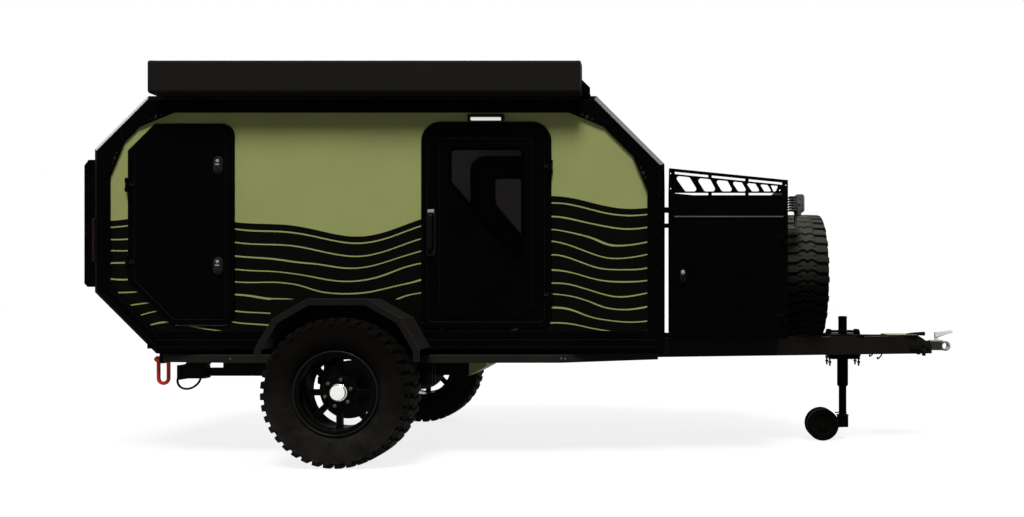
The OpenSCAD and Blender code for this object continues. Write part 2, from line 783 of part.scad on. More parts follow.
module awning_brackets() {
    w = 60;
    x_end = awning_x0 + awning_len - 12;
    color("black") {
        for (x = [awning_x0 + 180, awning_x0 + awning_len / 2, x_end])
            block(x, x + w, -awning_y0, -inner_w + w, z_roof, z_roof + 8);
        block(awning_x0 + 12, x_end, -awning_y0, -awning_y0 + 8, z_roof - 14, z_roof + 60);
        for (x = [awning_x0 + 180, awning_x0 + awning_len / 2])
            block(x, x + w, -awning_y0, -awning_y0 + 8, z_roof + 8 - lap, z_roof + 120);
        along_y(-awning_y0, -awning_y0 + 12) polygon([[x_end, z_roof + lap], [x_end + w, z_roof + lap],
            [x_end + w, z_roof + 42], [x_end + 10, z_roof + 92], [x_end, z_roof + 92]]);
    }
}

// Lamps over the entry doors
module porch_lamps() {
    x = (door_x0 + door_x1) / 2;
    z = door_z1 + panel_gap + 2;
    lamp_half = 107;
    color("white") both_sides() block(x - lamp_half, x + lamp_half, -half_w - 24, -half_w, z, z + 38);
}

// Upright tail lamps on the rear corners
module tail_lamps() {
    color("red") both_sides()
        block(x_cr - 10, x_cr, -half_w + 8, -inner_w - 2, rear_z0 + 150, rear_z0 + 400);
}

// Front box: a shell that is open at both sides for the doors
module front_box() {
    color("black") {
        along_y(-box_w / 2, box_w / 2) difference() {
            translate([x_box, box_z0]) square([box_len, box_h]);
            translate([x_box + box_t, box_z0 + box_t]) square([box_len - 2 * box_t, box_h - 2 * box_t]);
        }
        for (x = [x_box + 60, x_box + box_len - 120], s = [-1, 1])
            block(x, x + 60, s * (beam_outer(x) - 25) - 20, s * (beam_outer(x) - 25) + 20,
                chassis_top, box_z0 + lap);
    }
}

// Basket on the box, stayed to the cabin: four panels with slots. The slot tables hold x of the bottom and
// top as shares of the length
basket_t = 5;
slot_low = [[0.138, 0.246], [0.3, 0.4], [0.446, 0.54], [0.582, 0.656], [0.698, 0.766], [0.801, 0.863],
    [0.877, 0.897]];
slot_high = [[0.043, 0.173], [0.229, 0.348], [0.386, 0.492], [0.524, 0.613], [0.647, 0.727], [0.763, 0.829],
    [0.855, 0.915]];
slot_round = [14, 14, 12, 10, 8, 6, 3];
long_slots = [[0.05, 0.33], [0.36, 0.64], [0.67, 0.95]];
function basket_top(t) = box_z1 + basket_h - basket_fall * t;
function basket_x(t) = x_box + t * box_len;
module basket_side() {
    low = box_z1 + basket_h * 0.51;
    difference() {
        polygon([[x_box, box_z1], [x_box_front, box_z1], [x_box_front, basket_top(1)],
            [x_box, basket_top(0)]]);
        for (i = [0 : len(slot_low) - 1]) polygon(fillet([
            [basket_x(slot_low[i][0]), low],
            [basket_x(slot_low[i][1]), low],
            [basket_x(slot_high[i][1]), basket_top(slot_high[i][1]) - 41],
            [basket_x(slot_high[i][0]), basket_top(slot_high[i][0]) - 41]], slot_round[i], 3));
        for (s = long_slots) {
            polygon([[basket_x(s[0]), basket_top(s[0]) - 31], [basket_x(s[1]), basket_top(s[1]) - 31],
                [basket_x(s[1]), basket_top(s[1]) - 18], [basket_x(s[0]), basket_top(s[0]) - 18]]);
            translate([basket_x(s[0]), low - 22]) square([(s[1] - s[0]) * box_len, 13]);
        }
    }
}

module basket() {
    y = box_w / 2;
    color("black") {
        along_y(-y, -y + basket_t) basket_side();
        along_y(y - basket_t, y) basket_side();
        block(x_box, x_box + basket_t, -y, y, box_z1, basket_top(0) - 6);
        block(x_box_front - basket_t, x_box_front, -y, y, box_z1, basket_top(1) - 2);
        for (s = [-y + 10, y - 50]) block(x_cf, x_box + lap, s, s + 40, box_z1 + 20, box_z1 + 50);
    }
}

// Carrier on the box front and the spare wheel bolted to it, its axis along X
module at_spare() {
    translate([spare_x, 0, spare_z]) rotate([0, 90, 0]) children();
}

module spare_carrier() {
    reach = spare_x + disc_z0 - x_box_front;
    color("black") {
        translate([x_box_front, -150, spare_z - 150]) cube([10, 300, 300]);
        translate([x_box_front, 0, spare_z]) rotate([0, 90, 0]) cylinder(h = reach, r = 80);
        translate([x_box_front, 0, spare_z]) rotate([0, 90, 0]) cylinder(h = reach + 50, r = 40);
    }
}

module spare_tyre() {
    color("black") at_spare() tyre_body();
}

module spare_rim() {
    color("dimgray") at_spare() rim_body();
}

// Work lamps on the box front: bracket, pod and six cooling fins
module work_lamps() {
    y = 450;
    color("gray") both_sides() {
        block(x_box_front, x_box_front + 90, -y - 20, -y + 20, box_z1 - 70, box_z1 - 50);
        block(x_box_front + 60, x_box_front + 90, -y - 20, -y + 20, box_z1 - 50 - lap, box_z1 + 30);
        block(x_box_front + 72, x_box_front + 130, -y - 62, -y + 62, box_z1 + 29, box_z1 + 150);
        for (i = [0 : 5]) translate([x_box_front + 32, -y - 56, box_z1 + 45 + 17 * i])
            cube([40 + lap, 112, 6]);
    }
}

// Wheel: tyre, rim with eight windows, hub with brake drum and cap
disc_z0 = 28;
disc_t = 26;
rim_r = rim_d / 2;

// Half section of the tyre from the bead to the tread, as rings of points round the axle; its columns are
// radius and width at a lug, radius and width in a groove, and points to a pitch
pitches = 40;
lug_depth = 16;
bead_w = 106;
// Share of a pitch at each point of a lugged ring: two on the lug, two in the groove
lug_steps = [0, 0.55, 0.62, 0.93];
mid_step = [0.46];
function plain_ring(r, w) = [r, w, r, w, 1];
half_rings = let (w = tyre_w / 2, flat = 1 / cos(180 / pitches)) [
    plain_ring((rim_r + seat_gap) * flat, bead_w),
    plain_ring((rim_r + 18) * flat, bead_w),
    plain_ring(rim_r + 90, w),
    plain_ring(tyre_r - 38, w - 5),
    [tyre_r - 8, w - 9, tyre_r - 24, w - 15, 4],
    [tyre_r, w - 26, tyre_r - lug_depth, w - 30, 4]];
last_ring = len(half_rings) - 1;
tyre_rings = concat([for (q = half_rings) [q[0], -q[1], q[2], -q[3], q[4]]],
    [for (k = [last_ring : -1 : 0]) half_rings[k]]);
ring_count = len(tyre_rings);
function ring_start(k) = k == 0 ? 0 : ring_start(k - 1) + pitches * tyre_rings[k - 1][4];
function ring_points(q) = [for (i = [0 : pitches - 1], j = [0 : q[4] - 1])
    let (a = (i + (q[4] == 1 ? mid_step : lug_steps)[j]) * 360 / pitches, c = j < 2 ? 0 : 2)
    [q[c] * cos(a), q[c] * sin(a), q[c + 1]]];
// Triangles between ring k and the next, where either may have one point or four to a pitch
function ring_faces(k) = let (
        n = (k + 1) % ring_count,
        s = tyre_rings[k][4],
        t = tyre_rings[n][4],
        m = max(s, t))
    [for (i = [0 : pitches - 1], j = [0 : m - 1])
        let (a = [for (d = [0, 1]) ring_start(k) + (i * s + (s == m ? j + d : floor((j + d) / m)))
                % (pitches * s)],
            b = [for (d = [0, 1]) ring_start(n) + (i * t + (t == m ? j + d : floor((j + d) / m)))
                % (pitches * t)])
        each concat(b[0] == b[1] ? [] : [[a[0], b[0], b[1]]], a[0] == a[1] ? [] : [[a[0], b[1], a[1]]])];
module tyre_body() {
    polyhedron(points = [for (q = tyre_rings) each ring_points(q)],
        faces = [for (k = [0 : ring_count - 1]) each ring_faces(k)]);
}

// Half profile of the rim's outer half: radius beyond the bead seat and distance from the middle
rim_profile = [[-14, 0], [0, 0], [0, 108], [15, 108], [15, 118], [-14, 118]];
module rim_body() {
    difference() {
        union() {
            for (s = [0, 1]) mirror([0, 0, s]) rotate_extrude($fn = 96)
                polygon([for (p = rim_profile) [rim_r + p[0], p[1] == 0 ? -lap : p[1]]]);
            translate([0, 0, disc_z0]) cylinder(h = disc_t, r = rim_r + rim_profile[0][0] + lap);
        }
        translate([0, 0, disc_z0 - 1]) cylinder(h = disc_t + 2, r = 54 + seat_gap);
        translate([0, 0, disc_z0 - 1]) linear_extrude(height = disc_t + 2) difference() {
            circle(r = rim_r - 20);
            circle(r = 100);
            for (i = [0 : 3]) rotate(45 * i) square([2 * rim_r, 34], center = true);
        }
    }
}

module hub_body() {
    difference() {
        union() {
            translate([0, 0, disc_z0 - drum_depth]) cylinder(h = drum_depth - drum_back, r = drum_r);
            translate([0, 0, disc_z0 - drum_back - lap]) cylinder(h = drum_back + lap, r = 66);
            translate([0, 0, disc_z0 - 20]) cylinder(h = 20, r = 92);
            translate([0, 0, disc_z0 - 1]) cylinder(h = disc_t + 12, r = 54);
            translate([0, 0, disc_z0 + disc_t]) rotate_extrude()
                polygon([[0, 0], [42, 0], [42, 24], [38, 31], [0, 34]]);
        }
        translate([0, 0, disc_z0 - drum_depth - 1]) cylinder(h = drum_depth + 24, r = spindle_r + pin_gap);
        translate([0, 0, disc_z0 - drum_depth - 1]) cylinder(h = 40, r = 60);
    }
}

module at_wheel() {
    translate([x_wheel, -y_wheel, tyre_r]) rotate([90, 0, 0]) children();
}

module tyre_right() {
    color("black") at_wheel() tyre_body();
}

module tyre_left() {
    to_left() tyre_right();
}

module rim_right() {
    color("dimgray") at_wheel() rim_body();
}

module rim_left() {
    to_left() rim_right();
}

module hub_right() {
    color("silver") at_wheel() hub_body();
}

module hub_left() {
    to_left() hub_right();
}

// Fixed hinge halves of every door and hatch
module hinge_leaves() {
    stand = door_proud + axis_out;
    color("black") {
        both_sides() {
            for (z = door_hinge_z) translate([door_axis[0], door_axis[1], z]) hinge_fixed(stand);
            for (z = hatch_hinge_z) translate([hatch_axis[0], hatch_axis[1], z])
                mirror([1, 0, 0]) hinge_fixed(stand);
            for (z = box_hinge_z) translate([box_axis[0], box_axis[1], z]) box_hinge_fixed();
        }
        for (y = rear_hinge_y) translate([rear_axis[0], y, rear_axis[1]])
            rotate([90, 0, 0]) rear_hinge_fixed();
    }
}

// The box hinge sits on the shell's side edge; the rear hinge reaches back to the rear wall
module box_hinge_fixed() {
    cylinder(h = 3 * knuckle_h + 2, r = hinge_pin_r, center = true);
    for (s = [-1, 1]) translate([0, 0, s * (knuckle_h + 1) - knuckle_h / 2]) {
        cylinder(h = knuckle_h, r = knuckle_r);
        translate([panel_gap / 2, -4, 0]) cube([18, axis_out + 4, knuckle_h]);
    }
}

module rear_hinge_fixed() {
    reach = x_cr - rear_axis[0];
    cylinder(h = 3 * knuckle_h + 2, r = hinge_pin_r, center = true);
    for (s = [-1, 1]) translate([0, 0, s * (knuckle_h + 1) - knuckle_h / 2]) {
        cylinder(h = knuckle_h, r = knuckle_r);
        translate([0, -6, 0]) cube([reach, 12, knuckle_h]);
    }
    translate([reach - plate_t, -6, -1.5 * knuckle_h - 1]) cube([plate_t, 26, 3 * knuckle_h + 2]);
}

// Entry door: slab with a raised inner panel, window opening and hinge knuckles
module entry_door_right() {
    color("black") {
        difference() {
            along_y(-half_w - door_proud, -inner_w) difference() {
                door_outline(0);
                polygon(window);
            }
            along_y(-half_w - door_proud - 1, -half_w - door_proud + 5) difference() {
                round_rect(door_x0 + 34, door_x1 - 34, door_z0 + 34, door_z1 - 34, 30, 76);
                polygon(fillet([[door_x0 + 105, door_z0 + 115], [door_x0 + 165, door_z0 + 60],
                    [door_x1 - 165, door_z0 + 60], [door_x1 - 105, door_z0 + 115],
                    [door_x1 - 105, door_z1 - 95], [door_x0 + 105, door_z1 - 95]], 28));
            }
        }
        for (z = door_hinge_z) translate([door_axis[0], door_axis[1], z]) hinge_moving(axis_out);
    }
}

module entry_door_left() {
    to_left() entry_door_right();
}

// Tinted pane set into the window opening
module door_glass_right() {
    color("gray") along_y(-half_w + 10, -half_w + 16)
        polygon(inset(window, seat_gap));
}

module door_glass_left() {
    to_left() door_glass_right();
}

// Tall grab handle on two feet at the free edge
module door_handle_right() {
    x = door_x0 + 56;
    z = door_z0 + 0.346 * door_h;
    face = half_w + door_proud - 5;
    color("dimgray") {
        for (h = [0, 238]) block(x - 20, x + 20, -face - 36, -face, z + h, z + h + 42);
        block(x - 20, x + 20, -face - 52, -face - 34, z, z + 280);
    }
}

module door_handle_left() {
    to_left() door_handle_right();
}

// Side hatch: slab with a raised field and hinge knuckles
module side_hatch_right() {
    color("black") {
        difference() {
            along_y(-half_w - door_proud, -inner_w) hatch_outline(0);
            along_y(-half_w - door_proud - 1, -half_w - door_proud + 5) difference() {
                hatch_outline(-34);
                hatch_outline(-44);
            }
        }
        for (z = hatch_hinge_z) translate([hatch_axis[0], hatch_axis[1], z])
            mirror([1, 0, 0]) hinge_moving(axis_out);
    }
}

module side_hatch_left() {
    to_left() side_hatch_right();
}

// Two paddle latches near the free edge
module hatch_latches_right() {
    x = hatch_x1 - 84;
    face = half_w + door_proud;
    color("dimgray") for (z = [hatch_z0 + 345, hatch_z1 - 241])
        block(x - 29, x + 29, -face - 16, -face, z - 52, z + 52);
}

module hatch_latches_left() {
    to_left() hatch_latches_right();
}

// Rear hatch: thick panel with a bevelled top, its hinge on the upper edge and a handle
module rear_hatch() {
    x1 = x_cr - panel_gap;
    x0 = x1 - rear_hatch_t;
    y = rear_hatch_w / 2;
    color("black") {
        along_y(-y, y) polygon([[x1, rear_z0], [x1, rear_z1], [x1 - rear_hatch_t * 0.7, rear_z1],
            [x0, rear_z1 - 34], [x0, rear_z0 + 20], [x0 + 20, rear_z0]]);
        for (yy = rear_hinge_y) translate([rear_axis[0], yy, rear_axis[1]]) rotate([90, 0, 0])
            difference() {
                union() {
                    cylinder(h = knuckle_h, r = knuckle_r, center = true);
                    translate([-8, -axis_out - 4, -knuckle_h / 2]) cube([16, axis_out + 4, knuckle_h]);
                }
                cylinder(h = knuckle_h + 2, r = hinge_pin_r + pin_gap, center = true);
            }
        block(x0 - handle_out, x0 + lap, -70, 70, (rear_z0 + rear_z1) / 2 - 22, (rear_z0 + rear_z1) / 2 + 22);
    }
}

// Front box door: slab inside the shell with hinge knuckles and a latch
module box_door_right() {
    g = box_t + panel_gap;
    x0 = x_box + g;
    x1 = x_box_front - g;
    y = -box_w / 2;
    color("black") {
        block(x0, x1, y, y + 30, box_z0 + g, box_z1 - g);
        for (z = box_hinge_z) translate([box_axis[0], box_axis[1], z]) hinge_moving(axis_out);
        block(x0 + 28, x0 + 76, y - 16, y + 1, (box_z0 + box_z1) / 2 - 36, (box_z0 + box_z1) / 2 + 52);
    }
}

module box_door_left() {
    to_left() box_door_right();
}

chassis_rails();
cross_members();
drawbar();
coupler_mount();
jack_post();
rock_rails();
tow_lugs();
fenders();
trailing_arms();
hangers();
spring_pads();
water_tank();
stone_guard();
receiver();
recovery_shackles();
floor_panel();
side_walls();
roof_panel();
front_wall();
front_slope_panel();
rear_slope_panel();
tail_slope_panel();
rear_wall();
edge_frames();
cap_strips();
awning_case();
awning_brackets();
porch_lamps();
tail_lamps();
front_box();
basket();
spare_carrier();
spare_tyre();
spare_rim();
work_lamps();
hinge_leaves();
tyre_right();
rim_right();
hub_right();
tyre_left();
rim_left();
hub_left();
entry_door_right();
door_glass_right();
door_handle_right();
entry_door_left();
door_glass_left();
door_handle_left();
side_hatch_right();
hatch_latches_right();
side_hatch_left();
hatch_latches_left();
rear_hatch();
box_door_right();
box_door_left();
jack_leg();
jack_caster();
jack_wheel();
coupler_head();
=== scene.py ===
import math
import bpy
import numpy as np
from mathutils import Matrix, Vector


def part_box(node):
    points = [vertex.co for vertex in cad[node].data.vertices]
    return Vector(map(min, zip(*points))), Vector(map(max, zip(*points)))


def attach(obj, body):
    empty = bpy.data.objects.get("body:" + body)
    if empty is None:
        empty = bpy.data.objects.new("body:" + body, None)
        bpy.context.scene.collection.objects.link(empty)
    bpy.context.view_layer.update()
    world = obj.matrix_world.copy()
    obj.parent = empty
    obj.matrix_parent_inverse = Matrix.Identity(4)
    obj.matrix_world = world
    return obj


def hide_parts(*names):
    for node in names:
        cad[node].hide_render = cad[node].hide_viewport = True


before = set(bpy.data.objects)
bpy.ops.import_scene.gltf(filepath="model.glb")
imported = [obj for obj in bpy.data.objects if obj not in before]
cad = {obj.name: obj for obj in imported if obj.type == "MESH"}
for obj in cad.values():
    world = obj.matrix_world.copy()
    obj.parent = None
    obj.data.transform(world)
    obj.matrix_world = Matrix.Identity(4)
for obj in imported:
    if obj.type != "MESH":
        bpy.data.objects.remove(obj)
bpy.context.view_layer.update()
scene = bpy.context.scene
print("frame loaded with", len(cad), "nodes")


# shapes: every builder gives (points, quads); a quad with a repeated corner is a triangle

def quadGrid(rows, cols, wrapRows=False, wrapCols=False):
    # index of each cell's four corners on a rows x cols grid of points
    a, b = np.meshgrid(np.arange(rows - (not wrapRows)), np.arange(cols - (not wrapCols)), indexing="ij")
    c, d = (a + 1) % rows, (b + 1) % cols
    return np.stack([a * cols + b, c * cols + b, c * cols + d, a * cols + d], -1).reshape(-1, 4)


def outward(points, quads):
    # the signed volume under all triangles is positive when the faces point out
    p = points - points.mean(0)
    a, b, c, d = (p[quads[:, i]] for i in range(4))
    volume = (np.cross(a, b) * c).sum() + (np.cross(a, c) * d).sum()
    return points, quads if volume > 0 else quads[:, ::-1]


def join(shapes):
    starts = np.cumsum([0] + [len(s[0]) for s in shapes[:-1]])
    return (np.concatenate([s[0] for s in shapes]),
            np.concatenate([s[1] + k for s, k in zip(shapes, starts)]))


def mirrored(shape):
    # the copy on the other side of the middle plane, faces turned round again
    return shape[0] * [1, -1, 1], shape[1][:, ::-1]


def bothSides(shapes):
    return join(shapes + [mirrored(s) for s in shapes])


def basis(axis):
    # two unit vectors square to the axis
    n = np.array(axis, float) / np.linalg.norm(axis)
    u = np.cross(n, [0, 0, 1] if abs(n[2]) < 0.9 else [1, 0, 0])
    u /= np.linalg.norm(u)
    return n, u, np.cross(n, u)


def revolve(profile, origin, axis, steps=48, ring=False):
    # profile of (radius, distance along the axis), turned once round the axis
    profile = np.array(profile, float)
    n, u, v = basis(axis)
    t = np.arange(steps) * 2 * np.pi / steps
    spokes = np.cos(t)[:, None] * u + np.sin(t)[:, None] * v
    points = (np.array(origin) + profile[None, :, 1, None] * n
              + profile[None, :, 0, None] * spokes[:, None, :])
    return outward(points.reshape(-1, 3), quadGrid(steps, len(profile), True, ring))


def sweep(path, profile, up, closed=False):
    # profile of (sideways, upwards) carried along the path, its corners mitred
    path, profile = np.array(path, float), np.array(profile, float)
    up = np.array(up, float) / np.linalg.norm(up)
    edge = np.roll(path, -1, 0) - path
    if not closed:
        edge[-1] = edge[-2]
    edge /= np.linalg.norm(edge, axis=1)[:, None]
    side = np.cross(up, edge)
    side /= np.linalg.norm(side, axis=1)[:, None]
    before = np.roll(side, 1, 0)
    if not closed:
        before[0] = side[0]
    side = (side + before) / (1 + (side * before).sum(1))[:, None]
    points = path[:, None] + profile[None, :, 0, None] * side[:, None] + profile[None, :, 1, None] * up
    rows, cols = len(path), len(profile)
    points = points.reshape(-1, 3)
    quads = quadGrid(rows, cols, closed, True)
    if not closed:
        k, far = np.arange(cols), (rows - 1) * cols
        first = np.stack([0 * k + rows * cols, k, (k + 1) % cols, (k + 1) % cols], -1)
        last = np.stack([0 * k + rows * cols + 1, (k + 1) % cols + far, k + far, k + far], -1)
        points = np.concatenate([points, [points[:cols].mean(0), points[far:].mean(0)]])
        quads = np.concatenate([quads, first, last])
    return outward(points, quads)


def roundBox(low, high, radius, steps=3):
    # a ball cut in eight by its three middle planes, each eighth moved out to a corner of the box
    low, high = np.array(low, float), np.array(high, float)
    mid, half = (low + high) / 2, (high - low) / 2 - radius
    turn = np.concatenate([np.linspace(q, q + 1, steps + 1) for q in range(4)]) * np.pi / 2
    quarter = np.repeat(np.arange(4), steps + 1)
    rise = np.concatenate([np.linspace(-1, 0, steps + 1), np.linspace(0, 1, steps + 1)]) * np.pi / 2
    sx = np.where((quarter == 0) | (quarter == 3), 1, -1)
    sy = np.where(quarter < 2, 1, -1)
    sz = np.repeat([-1, 1], steps + 1)
    t, r = np.meshgrid(turn, rise, indexing="ij")
    ball = np.stack([np.cos(t) * np.cos(r), np.sin(t) * np.cos(r), np.sin(r)], -1) * radius
    corner = np.stack(np.broadcast_arrays(sx[:, None] * half[0], sy[:, None] * half[1],
                                          sz[None] * half[2]), -1)
    rows, cols = len(turn), len(rise)
    caps = np.array([[q * (steps + 1) * cols for q in (3, 2, 1, 0)],
                     [q * (steps + 1) * cols + cols - 1 for q in range(4)]])
    quads = np.concatenate([quadGrid(rows, cols, True), caps])
    return outward((mid + ball + corner).reshape(-1, 3), quads)


def boxAt(at, low, high, radius, steps=3):
    # rounded box with both corners counted from one point
    return roundBox(np.add(at, low), np.add(at, high), radius, steps)


def plate(outline, levels, place):
    # an outline shrunk by each level's inset, the rings stacked at the level's height and closed by lids
    outline = np.array(outline, float)
    edge = np.roll(outline, -1, 0) - outline
    edge /= np.linalg.norm(edge, axis=1)[:, None]
    n = np.stack([-edge[:, 1], edge[:, 0]], -1)
    m = np.roll(n, 1, 0)
    inward = (n + m) / (1 + (n * m).sum(1))[:, None]
    rings = [np.column_stack([outline + inward * inset, np.full(len(outline), h)]) for h, inset in levels]
    lids = [np.tile(r.mean(0), (len(outline), 1)) for r in (rings[0], rings[-1])]
    grid = np.stack([lids[0]] + rings + [lids[1]])
    return outward(place(grid.reshape(-1, 3)), quadGrid(len(grid), len(outline), False, True))


def fillet(corners, radius, steps=6):
    # each corner of a closed outline replaced by an arc that touches both edges
    p = np.array(corners, float)
    r = np.broadcast_to(np.array(radius, float), len(p))[:, None]
    a, b = np.roll(p, 1, 0) - p, np.roll(p, -1, 0) - p
    a /= np.linalg.norm(a, axis=1)[:, None]
    b /= np.linalg.norm(b, axis=1)[:, None]
    half = np.arccos((a * b).sum(1))[:, None] / 2
    mid = (a + b) / np.linalg.norm(a + b, axis=1)[:, None]
    centre = p + mid * r / np.sin(half)
    start = p + a * r / np.tan(half) - centre
    sweepAngle = (np.pi - 2 * half) * np.linspace(0, 1, steps + 1)
    c, s = np.cos(sweepAngle), np.sin(sweepAngle)
    arc = np.stack([start[:, :1] * c - start[:, 1:] * s, start[:, :1] * s + start[:, 1:] * c], -1)
    return (centre[:, None] + arc).reshape(-1, 2)


def roundRect(x0, x1, z0, z1, radius, steps=6):
    return fillet([[x0, z0], [x1, z0], [x1, z1], [x0, z1]], radius, steps)


def circle(radius, steps=12):
    t = np.arange(steps) * 2 * np.pi / steps
    return np.column_stack([np.cos(t), np.sin(t)]) * radius


def hexHead(at, axis, across, height):
    # six-sided head with a chamfered top, standing on its seat
    r = across / math.sqrt(3)
    return revolve([(0, 0), (r, 0), (r, height * 0.8), (r * 0.86, height), (0, height)], at, axis, 6)


def screwHead(at, axis, radius):
    # low domed head: a circle's arc turned round the axis
    t = np.linspace(0, np.pi / 2, 4)
    arc = np.column_stack([radius * np.cos(t), radius * 0.5 * np.sin(t)])
    return revolve(np.concatenate([[(0, 0)], arc]), at, axis, 14)


def addPiece(name, shape, look, body, replaced=(), crease=35):
    # equal points are merged, quads that lost a corner become triangles
    points, quads = shape
    _, first, back = np.unique(np.round(points, 6), axis=0, return_index=True, return_inverse=True)
    quads = back.reshape(-1)[quads]
    same = quads == np.roll(quads, -1, 1)
    lost = same.sum(1)
    faces = quads[lost == 0].tolist() + quads[lost == 1][~same[lost == 1]].reshape(-1, 3).tolist()
    mesh = bpy.data.meshes.new(name)
    mesh.from_pydata(points[first].tolist(), [], faces)
    mesh.shade_smooth()
    mesh.set_sharp_from_angle(angle=math.radians(crease))
    mesh.materials.append(looks[look])
    piece = bpy.data.objects.new(name, mesh)
    scene.collection.objects.link(piece)
    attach(piece, body)
    if replaced:
        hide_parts(*replaced)


# materials: shared effects are groups, each finish has its own values

def tone(r, g, b):
    # screen value 0-255 to the linear colour Blender takes
    c = np.array([r, g, b]) / 255
    return tuple(np.where(c <= 0.04045, c / 12.92, ((c + 0.055) / 1.055) ** 2.4)) + (1.0,)


def newGroup(name, inputs, outputs):
    group = bpy.data.node_groups.new(name, "ShaderNodeTree")
    for label, value in inputs:
        socket = group.interface.new_socket(label, in_out="INPUT", socket_type=floatSocket)
        socket.default_value = value
    for label, kind in outputs:
        group.interface.new_socket(label, in_out="OUTPUT", socket_type=kind)
    return group, group.nodes.new("NodeGroupInput"), group.nodes.new("NodeGroupOutput")


def add(tree, kind, settings=None, **values):
    # a node with its settings, then its inputs by name: a value or an output to link
    node = tree.nodes.new(kind)
    for key, value in (settings or {}).items():
        setattr(node, key, value)
    for key, value in values.items():
        socket = node.inputs[int(key[1:])] if key[0] == "_" else node.inputs[key.replace("_", " ")]
        if isinstance(value, bpy.types.NodeSocket):
            tree.links.new(value, socket)
        else:
            socket.default_value = value
    return node


def math2(tree, operation, a, b=0.0, clamp=False):
    return add(tree, "ShaderNodeMath", {"operation": operation, "use_clamp": clamp}, _0=a, _1=b).outputs[0]


def mixColour(tree, factor, a, b):
    return add(tree, "ShaderNodeMix", {"data_type": "RGBA"}, _0=factor, _6=a, _7=b).outputs[2]


def ramp(tree, value, low, high, toLow=0.0, toHigh=1.0):
    return add(tree, "ShaderNodeMapRange", Value=value, From_Min=low, From_Max=high,
               To_Min=toLow, To_Max=toHigh).outputs[0]


def placeOf(tree, output="Object"):
    # where a point lies on its piece, or its normal
    return tree.nodes.new("ShaderNodeTexCoord").outputs[output]


def axesOf(tree, output="Object"):
    return add(tree, "ShaderNodeSeparateXYZ", Vector=placeOf(tree, output)).outputs


def noise(tree, where, scale, **more):
    return add(tree, "ShaderNodeTexNoise", Vector=where, Scale=scale, **more).outputs[0]


def shade(colour, factor):
    return tuple(min(1.0, v * factor) for v in colour[:3]) + (1.0,)


floatSocket, vectorSocket = "NodeSocketFloat", "NodeSocketVector"

# fine and broad noise of a sprayed or moulded skin
grainGroup, gIn, gOut = newGroup("skinGrain", [("Scale", 300.0)],
                                 [("Fine", floatSocket), ("Broad", floatSocket)])
where = placeOf(grainGroup)
grainGroup.links.new(noise(grainGroup, where, gIn.outputs[0], Detail=3.0), gOut.inputs[0])
grainGroup.links.new(noise(grainGroup, where, 2.3, Detail=4.0, Roughness=0.6), gOut.inputs[1])

# road dust, and on the tyres a painted reflection of the pale floor: thickest at the ground, gone at the
# ceiling height, broken up by noise
dustAndSheenGroup, gIn, gOut = newGroup("roadDustAndSheen", [("Ceiling", 0.9), ("Amount", 0.3)], [("Mask", floatSocket)])
fall = ramp(dustAndSheenGroup, axesOf(dustAndSheenGroup)[2], gIn.outputs[0], 0.0)
cloud = noise(dustAndSheenGroup, placeOf(dustAndSheenGroup), 7.0, Detail=6.0, Roughness=0.65)
cloud = ramp(dustAndSheenGroup, cloud, 0.3, 0.75)
mask = math2(dustAndSheenGroup, "MULTIPLY", math2(dustAndSheenGroup, "MULTIPLY", fall, cloud), gIn.outputs[1], True)
dustAndSheenGroup.links.new(mask, gOut.inputs[0])

# edges: the rounded normal near an edge, and a mask of how far it turns from the face; the mask places the
# painted highlight along the edges
edgeGroup, gIn, gOut = newGroup("softEdge", [("Radius", 0.003)],
                                [("Mask", floatSocket), ("Normal", vectorSocket)])
bend = add(edgeGroup, "ShaderNodeBevel", {"samples": 6}, Radius=gIn.outputs[0]).outputs[0]
face = edgeGroup.nodes.new("ShaderNodeNewGeometry").outputs["Normal"]
turn = add(edgeGroup, "ShaderNodeVectorMath", {"operation": "DOT_PRODUCT"}, _0=bend, _1=face)
edgeGroup.links.new(ramp(edgeGroup, turn.outputs["Value"], 0.99, 0.75), gOut.inputs[0])
edgeGroup.links.new(bend, gOut.inputs[1])

# hairline scuffs: long thin streaks where stretched noise crosses its middle
scuffGroup, gIn, gOut = newGroup("scuffs", [("Amount", 0.3)], [("Mask", floatSocket)])
where = placeOf(scuffGroup)
stretched = add(scuffGroup, "ShaderNodeMapping", Vector=where, Rotation=(0.3, 0.5, 0.2),
                Scale=(4.0, 9.0, 60.0)).outputs[0]
streak = noise(scuffGroup, stretched, 1.4, Detail=2.0)
near = math2(scuffGroup, "ABSOLUTE", math2(scuffGroup, "SUBTRACT", streak, 0.5))
line = ramp(scuffGroup, near, 0.006, 0.0)
patch = noise(scuffGroup, where, 2.0)
line = math2(scuffGroup, "MULTIPLY", line, ramp(scuffGroup, patch, 0.5, 0.7))
scuffGroup.links.new(math2(scuffGroup, "MULTIPLY", line, gIn.outputs[0]), gOut.inputs[0])


def useGroup(tree, group, **values):
    node = tree.nodes.new("ShaderNodeGroup")
    node.node_tree = group
    for key, value in values.items():
        node.inputs[key].default_value = value
    return node


def startMaterial(name):
    material = bpy.data.materials.new(name)
    material.use_nodes = True
    tree = material.node_tree
    return material, tree, tree.nodes["Principled BSDF"]


dustTone = (92, 84, 70)


